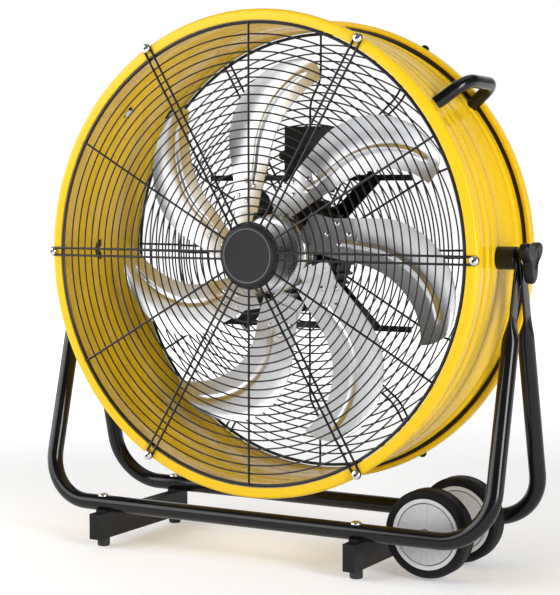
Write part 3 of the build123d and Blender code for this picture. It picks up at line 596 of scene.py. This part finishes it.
def guard(name, spoke_depth, ring_depth, dish, node_name):
    """Concentric rings, hairpin spokes that loop round the rim screws, and single spokes."""
    thin = [
        wire(ring_course(radius, ring_depth(radius)), ring_wire / 2, closed=True)
        for radius in (first_ring + ring_pitch * number for number in range(ring_count))
    ]
    edge_course = ring_course(edge_ring, ring_depth(edge_ring))
    edge = wire(edge_course, edge_wire / 2, sides=10, closed=True)
    bends = [dish_inner, dish_outer] if dish else []
    radii = [spoke_start] + bends + [screw_circle]
    straight = rounded([(radius, spoke_depth(radius)) for radius in radii], radius=14, steps=5)
    half_gap = hairpin_gap / 2
    loop = [radians(turn) for turn in range(-75, 90, 15)]
    course = [(radius, -half_gap, depth) for radius, depth in straight]
    end = spoke_depth(screw_circle)
    course += [(screw_circle + half_gap * cos(a), half_gap * sin(a), end) for a in loop]
    course += [(radius, half_gap, depth) for radius, depth in reversed(straight)]
    single = [(radius, 0, depth) for radius, depth in straight[:-1]]
    single.append((edge_ring, 0, spoke_depth(edge_ring)))
    spokes = []
    for number in range(spoke_pairs):
        for line, turn in ((course, pair_turn * number), (single, pair_turn * (number + 0.5))):
            flat = spun([(out, aside) for out, aside, depth in line], turn)
            bent = [(x, point[2], axis_height + z) for (x, z), point in zip(flat, line)]
            spokes.append(wire(bent, spoke_wire / 2))
    for part, wires in (("rings", thin + [edge]), ("spokes", spokes)):
        shape, nodes = moved(joined(wires), TO_METRES), [f"{node_name}_{part}"]
        piece(f"{name}_{part}", shape, wire_coat, "drum", nodes)


guard(
    "front_grille",
    lambda radius: -half_depth - spoke_wire / 2,
    lambda radius: -half_depth + ring_size(radius) / 2,
    False,
    "front_guard",
)
guard(
    "rear_grille",
    lambda radius: half_depth - dish_at(radius) + spoke_wire / 2,
    lambda radius: half_depth - dish_at(radius) - ring_size(radius) / 2,
    True,
    "rear_guard",
)

badge_profile = rounded(
    [
        (0.01, badge_face), (38.4, badge_face), (38.4, 7.4), (41.2, 8.5), (44, 7.2), (44, 0.2),
        (50, 0.0), (50, -1.4), (0.01, -1.4),
    ],
    radius=1.2,
)
badge_seat = facing_front(0, -half_depth, axis_height)
badge = moved(turned(badge_profile), badge_seat)
piece("badge_disc", badge, badge_plastic, "drum", ["guard_badge"])
ring_corners = [(38.5, badge_face), (40.1, badge_face), (40.1, 8.2), (38.5, 7.9)]
ring_profile = rounded(ring_corners, radius=0.4, steps=3, closed=True)
badge_ring = moved(turned(ring_profile, closed=True), badge_seat)
piece("badge_ring", badge_ring, badge_line, "drum")


def head_curve(radius, height, brim, angles):
    """Domed edge of a screw or rivet head over a straight brim, as a share of its height."""
    curve = [(radius, 0), (radius, height * brim)]
    for degrees in angles:
        turn = radians(degrees)
        curve.append((radius * cos(turn), height * (brim + (1 - brim) * sin(turn))))
    return curve


def pan_head(radius, height, slot_width, slot_length):
    """Domed screw head and a solid cross in its recess, to be shown dark as painted shade, their
    seat at zero.
    """
    profile = head_curve(radius, height, 0.3, range(15, 75, 15))
    profile += [(slot_length * 0.62, height), (slot_width, height * 0.45), (0.01, height * 0.35)]
    half, width = slot_length, slot_width / 2
    bar = [(-half, -width), (half, -width), (half, width), (-half, width)]
    arms = [stood_up(spun(bar, turn), height * 0.5, height * 0.985) for turn in (0, 90)]
    return turned(profile, sides=32), joined(arms)


screw_head, recess_shade_cross = pan_head(screw_radius, screw_height, recess_width, recess_reach)
for side, seat, node_name in (
    ("front", facing_front(0, -half_depth - spoke_wire, axis_height), "front_guard_screws"),
    ("rear", facing_rear(0, half_depth + spoke_wire, axis_height), "rear_guard_screws"),
):
    spots = []
    for number in range(spoke_pairs):
        angle = radians(pair_turn * number)
        place = Matrix.Translation((screw_circle * cos(angle), screw_circle * sin(angle), 0))
        spots.append(seat @ place @ Matrix.Rotation(radians(screw_turn * number), 4, "Z"))
    piece(f"{side}_rim_screws", placed(screw_head, spots), zinc, "drum", [node_name])
    # The crosses are black: painted shade in the screws' cross recesses.
    recess_shade_crosses = placed(recess_shade_cross, spots)
    piece(f"{side}_recess_shade", recess_shade_crosses, wire_coat, "drum")


# ------------------------------------------------------------------ rotor

sweep, rake = radians(blade_sweep), radians(blade_rake)
blade_run = Vector((sin(sweep) * cos(rake), sin(rake), cos(sweep) * cos(rake)))
level_chord = Vector((cos(sweep), -tan(radians(blade_pitch)), -sin(sweep)))
blade_chord = (level_chord - blade_run * level_chord.dot(blade_run)).normalized()
blade_up = blade_run.cross(blade_chord)
blade_origin = Vector(root_place)


def blade_depth(x, height, radius):
    """Depth of the cambered sheet in front of this point of the front view."""
    start = Vector((x, 0, height)) - blade_origin
    a0, b0 = start.dot(blade_chord), start.dot(blade_up) + camber_radius
    a1, b1 = blade_chord.y, blade_up.y
    square, half, rest = a1 * a1 + b1 * b1, a0 * a1 + b0 * b1, a0 * a0 + b0 * b0 - radius**2
    root = sqrt(half * half - square * rest)
    depths = [(-half + sign * root) / square for sign in (-1, 1)]
    return min(depths, key=lambda depth: abs(depth - blade_origin.y))


def arc_through(first, middle, last, share):
    """Point at this share of the arc through three points."""
    ax, ay = first
    bx, by = middle
    cx, cy = last
    d = 2 * (ax * (by - cy) + bx * (cy - ay) + cx * (ay - by))
    sa, sb, sc = ax * ax + ay * ay, bx * bx + by * by, cx * cx + cy * cy
    centre_x = (sa * (by - cy) + sb * (cy - ay) + sc * (ay - by)) / d
    centre_y = (sa * (cx - bx) + sb * (ax - cx) + sc * (bx - ax)) / d
    centre = Vector((centre_x, centre_y))
    start, end = Vector(first) - centre, Vector(last) - centre
    turn = start.angle_signed(end)
    middle_turn = start.angle_signed(Vector(middle) - centre)
    if turn * middle_turn < 0:
        turn -= 2 * pi * (1 if turn > 0 else -1)
    return centre + Matrix.Rotation(-turn * share, 2) @ start


# The blade that points up, seen from the front: each long edge runs straight from the root to
# a bend and then round through a middle point to the tip. x is right of the fan axis, the
# second value is above it.
left_edge = ((-70.0, 62.0), (-92.0, 158.0), (-74.0, 238.0), (30.8, 293.4))
right_edge = ((-20.0, 62.0), (-18.0, 140.0), (8.0, 214.0), (72.0, 260.0))
tip_middle = (58.0, 284.0)
straight_share = 0.36


def edge_point(edge, share):
    """Point along one long edge of the blade."""
    root, bend, middle, tip = edge
    if share < straight_share:
        return Vector(root).lerp(Vector(bend), share / straight_share)
    return arc_through(bend, middle, tip, (share - straight_share) / (1 - straight_share))


def blade_plan(across, along):
    """Point of the blade in the front view, both shares from 0 to 1."""
    tip_left, tip_right = left_edge[-1], right_edge[-1]
    tip = arc_through(tip_left, tip_middle, tip_right, across)
    chord_tip = Vector(tip_left).lerp(Vector(tip_right), across)
    middle = edge_point(left_edge, along).lerp(edge_point(right_edge, along), across)
    return middle + (tip - chord_tip) * along


def bump_at(value, centre, half_width):
    """Smooth hill of height 1."""
    distance = min(1.0, abs(value - centre) / half_width)
    return (1 - distance * distance) ** 2


def faded(value, start, end, run):
    """1 between start and end, falling smoothly to 0 over run outside them."""
    inside = min((value - start) / run, (end - value) / run) + 1
    share = min(1.0, max(0.0, inside))
    return share * share * (3 - 2 * share)


# Pressed forms of a blade, with their places as shares across and along it.
rib_height = 3.4
rib_place = 0.6
rib_half_width = 0.075
rib_span = (0.2, 0.86, 0.06)
hollow_depth = 6.5
hollow_edge = 0.5
hollow_span = (straight_share, 2.0, 0.24)


def blade_relief(across, along):
    """Height of the pressed rib over the sheet, less the hollow pressed into the middle."""
    rib = rib_height * bump_at(across, rib_place, rib_half_width) * faded(along, *rib_span)
    inward = min(across, hollow_edge) / hollow_edge
    hollow = hollow_depth * (1 - (1 - inward) ** 2) * faded(along, *hollow_span)
    return rib - hollow


def sheet_between(front, back):
    """Closed sheet from two grids of rings with as many points each."""
    shape = joined([bridged(front, closed_round=False), bridged(back, closed_round=False)])
    size, rows = len(front[0]), len(front)
    offset = size * rows
    border = list(range(size))
    border += [row * size + size - 1 for row in range(1, rows)]
    border += [(rows - 1) * size + column for column in range(size - 2, -1, -1)]
    border += [row * size for row in range(rows - 2, 0, -1)]
    for number, corner in enumerate(border):
        following = border[(number + 1) % len(border)]
        shape[1].append((corner, following, following + offset, corner + offset))
    return shape


def blade_face(side, columns=44, rows=60):
    """Grid over the front (1) or the back (-1) of the blade that points up."""
    rings = []
    for row in range(rows + 1):
        ring = []
        for column in range(columns + 1):
            across, along = column / columns, row / rows
            plan = blade_plan(across, along)
            radius = camber_radius - side * blade_thickness / 2
            depth = blade_depth(plan.x, plan.y, radius) - blade_relief(across, along)
            ring.append(Vector((plan.x, depth, axis_height + plan.y)))
        rings.append(ring)
    return rings


upright_blade = moved(sheet_between(blade_face(1), blade_face(-1)), TO_METRES)
blade_turns = [about_fan(360 * number / blade_count) for number in range(blade_count)]
for number, turn in enumerate(blade_turns, start=1):
    piece(
        f"fan_blade_{number}",
        moved(upright_blade, turn),
        blade_metal,
        "rotor",
        [f"blade_{number}"],
        sharp=50,
    )


def arm_grid(back, columns=10, rows=14):
    """Points of a root arm's face, this far behind the blade's back."""
    rings = []
    for row in range(rows + 1):
        share = row / rows
        tip = sqrt(max(0.02, 1 - max(0.0, (share - arm_rounding) / (1 - arm_rounding)) ** 2))
        ring = []
        for column in range(columns + 1):
            x = root_place[0] + (2 * column / columns - 1) * (arm_half - arm_taper * share) * tip
            low = max(arm_root, sqrt(max(0.0, (hub_radius + hub_gap) ** 2 - x * x)))
            height = low + (arm_tip - low) * share
            depth = blade_depth(x, height, camber_radius + blade_thickness / 2 + back)
            ring.append(Vector((x, depth, axis_height + height)))
        rings.append(ring)
    return rings


def post_shape():
    """Post beside the hub plate that carries the inner end of an arm."""
    outline = [(-32.0, arm_root)]
    for x in (-32.8, -38.0, -43.0, -48.0, -53.0):
        outline.append((x, sqrt(post_radius**2 - x**2)))
    outline.append((-53.0, 40.0))
    plate_back = hub_plate_front + hub_plate_depth
    foot = [Vector((x, plate_back, axis_height + z)) for x, z in outline]
    under_arm = camber_radius + blade_thickness
    top = [Vector((x, blade_depth(x, z, under_arm), axis_height + z)) for x, z in outline]
    return capped(bridged([foot, top]), len(outline))


disc_corners = [(shaft_hole, 0), (hub_radius, 0)]
disc_corners += [(hub_radius, hub_plate_depth), (shaft_hole, hub_plate_depth)]
hub_profile = rounded(disc_corners, radius=1.2, closed=True)
hub_disc = moved(turned(hub_profile, closed=True), facing_rear(0, hub_plate_front, axis_height))
arm_sheet = sheet_between(arm_grid(arm_clearance), arm_grid(arm_thickness))
one_arm = moved(joined([arm_sheet, post_shape()]), TO_METRES)
arms = [moved(one_arm, turn) for turn in blade_turns]
piece("hub_plate", joined([hub_disc] + arms), hub_metal, "rotor", ["hub_spider"])

cap_profile = rounded(
    [
        (shaft_hole, 0), (hub_radius, 0), (hub_radius, 17), (58, 20), (50, hub_cap_height),
        (shaft_hole, hub_cap_height),
    ],
    radius=4,
    steps=6,
)
cap_seat = facing_front(0, hub_plate_front, axis_height)
cap = moved(turned(cap_profile), cap_seat)
piece("hub_dome", cap, hub_metal, "rotor", ["hub_cap"])


def dome(radius, height, sides, brim):
    """Low domed head on its seat."""
    return turned(head_curve(radius, height, brim, range(15, 90, 15)) + [(0.01, height)], sides)


rivet_places = []
for across in (-rivet_across, rivet_across):
    for along in (-rivet_along, rivet_along):
        angle = across / camber_radius
        aside = camber_radius * sin(angle)
        sunk = camber_radius * (cos(angle) - 1)
        local = blade_chord * aside + blade_up * sunk + blade_run * along
        inward = blade_chord * -sin(angle) - blade_up * cos(angle)
        spot = AXIS + blade_origin + local + inward * blade_thickness / 2
        rivet_places.append(frame_at(spot, blade_run, inward))
rivets = placed(dome(rivet_radius, rivet_height, sides=24, brim=0.25), rivet_places)
heads = joined(moved(rivets, turn) for turn in blade_turns)
piece("rivet_heads", heads, zinc, "rotor", ["blade_rivets"])


# ------------------------------------------------------------------ motor and switch box


def fin_outline():
    """Outline of the housing: a narrow fin with a small foot in the middle of each share."""
    steps = [
        (-3.6, fin_valley), (-1.5, fin_valley + fin_foot), (-1.1, fin_crest), (1.1, fin_crest),
        (1.5, fin_valley + fin_foot), (3.6, fin_valley),
    ]
    outline = []
    for number in range(fin_count):
        for turn, radius in steps:
            angle = radians(360 * number / fin_count + turn)
            outline.append((radius * cos(angle), radius * sin(angle)))
    return outline


fins = stood_up(fin_outline(), 0, motor_rear - motor_front)
front_cover = rounded(
    [
        (8, 9), (18, 9.6), (26, 9.6), (32, 6.5), (60, 6.5), (66, 8.5), (76, 8.5), (83.5, 4),
        (83.5, 0.1), (8, 0.1),
    ],
    radius=3,
    steps=5,
)
rear_cover = rounded([(0.01, 10), (66, 10), (83.5, 6), (83.5, 0.1), (0.01, 0.1)], radius=4, steps=5)
for name, shape, seat, node_name in (
    ("motor_fins", fins, facing_front(0, motor_rear, axis_height), "motor_housing"),
    (
        "motor_front_dome",
        turned(front_cover, closed=True),
        facing_front(0, motor_front, axis_height),
        "motor_front_cover",
    ),
    (
        "motor_rear_dome",
        turned(rear_cover),
        facing_rear(0, motor_rear, axis_height),
        "motor_rear_cover",
    ),
):
    piece(name, moved(shape, seat), motor_coat, "drum", [node_name])


def ribbed(count, depth):
    """Share of the radius round a form with this many ribs."""
    return lambda angle, radius: 1 - depth * (1 + cos(count * angle))


nut_outline = [spun([(gland_radius, 0)], 60 * corner)[0] for corner in range(6)]
gland_sleeve = rounded([(4, 6), (8.4, 6), (7.4, 12), (5.4, 15), (4, 15)], radius=1.2, closed=True)
gland_ribs = turned(gland_sleeve, sides=48, closed=True, share_at=ribbed(16, 0.03))
piece(
    "gland_sleeve",
    moved(joined([gland_ribs, stood_up(nut_outline, 0, 6)]), facing_side(*gland_place, -1)),
    knob_plastic,
    "drum",
    ["cable_gland"],
)

dial_low, dial_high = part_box("speed_knob")
dial_middle = (dial_low + dial_high) / 2 / MM
dial_seat = facing_rear(dial_middle.x, dial_depth, dial_middle.z)
skirt = rounded([(0.01, 0), (13.8, 0), (13.8, 4), (11.2, 5), (10.4, 12), (0.01, 12)], radius=1.2)
fluted = turned(skirt, share_at=ribbed(24, 0.012))
grip = [(-2.4, -11), (2.4, -11), (2.4, 11), (-2.4, 11)]
stem = turned([(3, -10), (3, 0.5)], sides=16)
piece(
    "speed_dial",
    moved(joined([fluted, stood_up(grip, 12, 16.8), stem]), dial_seat),
    knob_plastic,
    "speed_knob",
    ["speed_knob"],
)


# ------------------------------------------------------------------ stand

leg_length = hypot(bar_depth, axis_height - bar_height)


def leg_course():
    """Centre line of one U frame in its own plane: x, and distance up from the pivot."""
    bends = []
    for hand in (-1, 1):
        centre = Vector((hand * (leg_x - bend_radius), bend_radius - leg_length))
        turns = [radians(90 * step / bend_steps) for step in range(bend_steps + 1)]
        for turn in turns if hand < 0 else reversed(turns):
            bends.append(centre + bend_radius * Vector((hand * cos(turn), -sin(turn))))
    distances = [-11.9, -11, -9, -6, -3] + list(range(0, 134, 4))
    left = [Vector((-leg_x, -distance)) for distance in distances]
    right = [Vector((leg_x, point.y)) for point in reversed(left)]
    return left + bends + right


def leg_shape(side, plate_x, sides=40):
    """Bent tube whose upper ends are pressed flat and rounded about the pivot."""
    down = Vector((0, side * bar_depth, bar_height - axis_height)) / leg_length
    across = Vector((1, 0, 0))
    normal = across.cross(-down)
    course = leg_course()
    rings = []
    for number, point in enumerate(course):
        before, after = course[max(0, number - 1)], course[min(len(course) - 1, number + 1)]
        tangent = (after - before).normalized()
        out = Vector((tangent.y, -tangent.x))
        if out.dot(point - Vector((0, -leg_x))) < 0:
            out = -out
        below = -point.y
        pressed = 1 - faded(below, flat_start, 2 * leg_length, flat_start - flat_length)
        centre = point.copy()
        hand = 1 if point.x > 0 else -1
        if below < flat_start:
            centre.x += hand * (plate_x - leg_x) * pressed
        half_out = tube_radius + (plate_half_thickness - tube_radius) * pressed
        half_wide = tube_radius + (plate_half_width - tube_radius) * pressed
        if below < 0:
            half_wide = sqrt(max(1.0, plate_half_width**2 - below**2))
        ring = []
        flat = 1 - plate_squareness * pressed
        for angle in angles_round(sides):
            u = abs(cos(angle)) ** flat * (1 if cos(angle) > 0 else -1)
            v = abs(sin(angle)) ** flat * (1 if sin(angle) > 0 else -1)
            spot = centre + out * (half_out * u)
            ring.append(AXIS + across * spot.x + down * -spot.y + normal * (half_wide * v))
        rings.append(ring)
    return moved(capped(bridged(rings), sides), TO_METRES)


for name, side, plate_x in (("front", -1, front_plate_x), ("rear", 1, rear_plate_x)):
    piece(
        f"{name}_tube_frame",
        leg_shape(side, plate_x),
        frame_coat,
        "stand",
        [f"{name}_leg_frame"],
        sharp=50,
    )

bolt_spots = [(x, side * bar_depth) for x in channel_places for side in (-1, 1)]
foot = turned(
    rounded([(0.01, 13), (9.6, 13), (9.9, 3), (9.0, 0), (0.01, 0)], radius=1.4), sides=48
)
pads = placed(foot, [upright(x, y, 0) for x, y in bolt_spots])
piece("foot_pads", pads, foot_rubber, "stand", ["rubber_feet"])
seat_height = bar_height + tube_radius - bolt_seat_depth
bolt_dome = dome(8.4, 5.0, sides=32, brim=0.2)
shank = turned([(4, -40), (4, 0.5)], sides=16)
piece(
    "bolt_domes",
    placed(joined([bolt_dome, shank]), [upright(x, y, seat_height) for x, y in bolt_spots]),
    zinc,
    "stand",
    ["base_bolts"],
)


def handle_shape(angle):
    """Bent tube that stands on the drum's wall."""
    turn = radians(angle)
    outward = Vector((cos(turn), 0, sin(turn)))
    bent = rounded(handle_course, radius=26, steps=12)
    course = [AXIS + outward * point.y + Vector((0, point.x, 0)) for point in bent]
    return wire(course, handle_tube, sides=28)


for name, angle in handle_angles.items():
    shape, nodes = moved(handle_shape(angle), TO_METRES), [f"{name}_handle"]
    piece(f"{name}_carry_handle", shape, frame_coat, "drum", nodes)


# ------------------------------------------------------------------ wheels

tyre_half = wheel_width / 2
# One shoulder of the tyre from its rim to the tread: (radius, distance from its side face).
shoulder = [
    (wheel_rim, 1), (60.0, 0), (62.8, 3), (tread_radius, 6), (tread_radius, 8.4),
    (seam_radius, 9), (tread_radius, 9.6),
]
tyre_profile = rounded(
    [(radius, step - tyre_half) for radius, step in shoulder]
    + [(radius, tyre_half - step) for radius, step in reversed(shoulder)],
    radius=3,
    steps=5,
    closed=True,
)
face = rounded(
    [(6.1, 17.6), (10.2, 17.6), (10.4, 15), (43.4, 15.6), (44.2, 13.2)], radius=0.6, steps=3
)
back = [Vector((point.x, -point.y)) for point in reversed(face)]
half_ring = [(44.9, 13.2), (45.6, 15.8), (51.3, 16.2)]
other_half = [(radius, -height) for radius, height in reversed(half_ring)]
rim_ring = rounded(half_ring + other_half, radius=0.7, steps=3, closed=True)
for name, side in (("front_wheel", -1), ("rear_wheel", 1)):
    centre = facing_front(wheel_x, side * (wheel_inner_y + tyre_half), bar_height)
    for part, profile, material, nodes, slot in (
        ("rubber", tyre_profile, tyre_rubber, [f"{name}_tyre"], "tyre_rubber"),
        ("hub_disc", face + back, disc_plastic, [f"{name}_disc"], "wheel_plastic"),
        ("rim_ring", rim_ring, disc_rim_plastic, [], "wheel_plastic"),
    ):
        shape = moved(turned(profile, sides=128, closed=True), centre)
        piece(f"{name}_{part}", shape, material, name, nodes)

sleeves = []
for front, rear in sleeve_spans:
    length = rear - front
    wall = rounded([(6.1, 0), (9, 0), (9, length), (6.1, length)], radius=0.6, closed=True)
    seat = facing_rear(wheel_x, front, bar_height)
    sleeves.append(moved(turned(wall, sides=40, closed=True), seat))
piece("spacer_tubes", joined(sleeves), frame_coat, "stand", ["axle_sleeves"])


# ------------------------------------------------------------------ pivots and lock knobs


def boss_shape(hand, sides=48):
    """Round boss from the pivot plate to the drum, its inner end cut to the drum's curve."""
    rings = []
    for radius, x in (
        (boss_bore, boss_face), (boss_radius - 0.9, boss_face), (boss_radius, boss_face - 1),
        (boss_radius, None), (boss_bore, None),
    ):
        ring = []
        for angle in angles_round(sides):
            y, z = radius * cos(angle), radius * sin(angle)
            reach = x or sqrt(drum_radius**2 - z * z) - boss_bite
            ring.append(Vector((hand * reach, y, axis_height + z)))
        rings.append(ring)
    return bridged(rings, closed_along=True)


bosses = moved(joined([boss_shape(1), boss_shape(-1)]), TO_METRES)
piece("drum_bosses", bosses, knob_plastic, "drum", ["pivot_bosses"])

knob_profile = rounded(
    [
        (0.01, 14), (14, 14), (15, 15), (33, 15), (knob_radius, 12), (knob_radius, 4), (33.5, 1),
        (knob_neck, 1), (11.8, 0), (5.2, 0),
    ],
    radius=2,
    steps=5,
)


def lobed(angle, radius):
    """Share of the radius: round at the neck, with three round lobes further out."""
    wave = (1 + cos(lobe_count * (angle - radians(lobe_turn)))) / 2
    full = (knob_valley + (knob_radius - knob_valley) * wave**lobe_sharpness) / knob_radius
    share = min(1.0, max(0.0, (radius - knob_neck) / lobe_start))
    return 1 - share + share * full


stud = turned([(5, -36.8), (5, 0.5)], sides=24)
star_knob = joined([turned(knob_profile, sides=128, share_at=lobed), stud])
washer = rounded([(5.2, 0), (12, 0), (12, 2), (5.2, 2)], radius=0.5, closed=True)
washer_ring = turned(washer, sides=48, closed=True)
for name, hand in (("right", 1), ("left", -1)):
    piece(
        f"{name}_star_knob",
        moved(star_knob, facing_side(hand * knob_face, 0, axis_height, hand)),
        knob_plastic,
        f"{name}_knob",
        [f"{name}_lock_knob"],
    )
    piece(
        f"{name}_flat_washer",
        moved(washer_ring, facing_side(hand * washer_face, 0, axis_height, hand)),
        zinc,
        f"{name}_knob_slide",
        [f"{name}_lock_knob_washer"],
    )


# ------------------------------------------------------------------ carried-over nodes

edge_softening = 0.6
carried = {
    frame_coat: ["motor_mount_plate", "motor_struts"],
    channel_coat: [
        "left_cross_channel", "right_cross_channel", "channel_end_caps", "saddle_spacers",
    ],
    box_plastic: ["switch_box", "switch_box_cover"],
    zinc: ["motor_bolts", "handle_bolts", "base_nuts"],
    dark_steel: ["fan_shaft", "rotor_core", "motor_bearings", "wheel_axle", "run_capacitor"],
    copper: ["stator"],
}
for material, names in carried.items():
    for name in names:
        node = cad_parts[name]
        node.data.materials.clear()
        node.data.materials.append(material)
        soften = node.modifiers.new("soft_edges", "BEVEL")
        soften.width = edge_softening * MM
        soften.segments = 2
        soften.limit_method = "ANGLE"
        soften.angle_limit = radians(40)


# ------------------------------------------------------------------ studio


def stage_mesh(name, shape, material):
    """A piece of the studio, which isn't part of the fan."""
    mesh = bpy.data.meshes.new(name)
    mesh.from_pydata([tuple(point) for point in shape[0]], [], shape[1])
    mesh.materials.append(material)
    obj = bpy.data.objects.new(name, mesh)
    bpy.context.scene.collection.objects.link(obj)
    return obj


white = (1.0, 1.0, 1.0, 1.0)


def floor_finish():
    """Pale floor that brightens into the distance, so that no horizon shows."""
    nodes = Nodes("studio_floor")
    away = nodes.add("ShaderNodeVectorMath", operation="LENGTH")
    nodes.link(nodes.coordinates, away.inputs[0])
    glow = nodes.spread(away.outputs["Value"], 0.3, 0.95, start=0.9, end=3.0)
    nodes.link(glow, nodes.shader.inputs["Emission Strength"])
    nodes.set(Base_Color=(0.86, 0.86, 0.86, 1.0), Emission_Color=white)
    nodes.set(Roughness=0.8, Specular_IOR_Level=0.1)
    return nodes.material


def backdrop_finish():
    """Plain white that gives off its own light."""
    nodes = Nodes("studio_backdrop")
    nodes.set(Base_Color=(0.0, 0.0, 0.0, 1.0), Emission_Color=white, Emission_Strength=1.0)
    nodes.set(Roughness=1.0, Specular_IOR_Level=0.0)
    return nodes.material


floor_reach = 14.0
corners = [Vector((x, y, 0)) * floor_reach for x, y in ((-1, -1), (1, -1), (1, 1), (-1, 1))]
stage_mesh("studio_floor", (corners, [(0, 1, 2, 3)]), floor_finish())

# A white wall all round, with a lid. Only the camera sees it, so it changes no reflection.
wall_reach = 13.0
wall_sides = 48
wall_points, panels = turned([(wall_reach, 0.0), (wall_reach, wall_reach)], sides=wall_sides)
lid = tuple(range(wall_sides, 2 * wall_sides))
wall = stage_mesh("studio_backdrop", (wall_points, panels + [lid]), backdrop_finish())
wall.visible_diffuse = False
wall.visible_glossy = False
wall.visible_transmission = False
wall.visible_volume_scatter = False
wall.visible_shadow = False


def softbox(name, place, size, power):
    """Large rectangular lamp that points at the fan."""
    lamp = bpy.data.lights.new(name, "AREA")
    lamp.shape = "RECTANGLE"
    lamp.size, lamp.size_y = size
    lamp.energy = power
    obj = bpy.data.objects.new(name, lamp)
    bpy.context.scene.collection.objects.link(obj)
    obj.location = place
    obj.visible_camera = False
    obj.rotation_mode = "QUATERNION"
    obj.rotation_quaternion = (Vector(place) - AXIS * MM).to_track_quat("Z", "Y")


softbox("right_softbox", (3.4, -1.6, 1.2), (1.2, 2.0), 108)
softbox("left_softbox", (-3.4, -1.2, 1.5), (2.2, 2.8), 82)
softbox("front_left_softbox", (-2.1, -2.7, 1.8), (1.9, 2.2), 50)
softbox("top_softbox", (0.2, 0.5, 3.4), (2.6, 2.6), 18)

# The sky is bright behind the fan and dim in front of it, so that the polished blades show
# dark and light parts.
world = bpy.data.worlds.new("studio_light")
bpy.context.scene.world = world
world.use_nodes = True
tree = world.node_tree
background = tree.nodes["Background"]
background.inputs["Color"].default_value = white
direction = tree.nodes.new("ShaderNodeTexCoord").outputs["Generated"]
split = tree.nodes.new("ShaderNodeSeparateXYZ")
tree.links.new(direction, split.inputs["Vector"])
toward_back = tree.nodes.new("ShaderNodeVectorMath")
toward_back.operation = "DOT_PRODUCT"
toward_back.inputs[1].default_value = (-0.49, 0.87, 0.0)
tree.links.new(direction, toward_back.inputs[0])


def shaded(value, low, high, dark, light):
    """Strength that runs from dark to light with a value of the sky's direction."""
    shade = tree.nodes.new("ShaderNodeMapRange")
    settings = {"From Min": low, "From Max": high, "To Min": dark, "To Max": light}
    for key, setting in settings.items():
        shade.inputs[key].default_value = setting
    tree.links.new(value, shade.inputs["Value"])
    return shade.outputs["Result"]


glow = tree.nodes.new("ShaderNodeMath")
glow.operation = "ADD"
tree.links.new(shaded(toward_back.outputs["Value"], 0.6, 0.88, 0.0, 0.95), glow.inputs[0])
tree.links.new(shaded(split.outputs["Z"], 0.0, 0.4, 0.24, 0.1), glow.inputs[1])
tree.links.new(glow.outputs[0], background.inputs["Strength"])


# ------------------------------------------------------------------ camera

# Fitted to the photo; the focal length is in pixels of its 595 px height.
camera_azimuth, camera_elevation = 29.22, 2.24
aim_azimuth, aim_elevation = 29.43, 3.79
camera_distance = 2502.6
image_height, focal_pixels = 595, 1638.46


def backward(azimuth, elevation):
    """Unit vector from the fan towards a viewer at this azimuth and elevation."""
    a, e = radians(azimuth), radians(elevation)
    return Vector((sin(a) * cos(e), -cos(a) * cos(e), sin(e)))


camera_data = bpy.data.cameras.new("photo_camera")
camera_data.sensor_width = 36.0
camera_data.lens = camera_data.sensor_width * focal_pixels / image_height
camera_data.clip_end = 100.0
camera = bpy.data.objects.new("photo_camera", camera_data)
bpy.context.scene.collection.objects.link(camera)
camera.location = (AXIS + backward(camera_azimuth, camera_elevation) * camera_distance) * MM
camera.rotation_mode = "QUATERNION"
camera.rotation_quaternion = backward(aim_azimuth, aim_elevation).to_track_quat("Z", "Y")
bpy.context.scene.camera = camera
bpy.context.scene.view_settings.view_transform = "Standard"

bpy.context.view_layer.update()
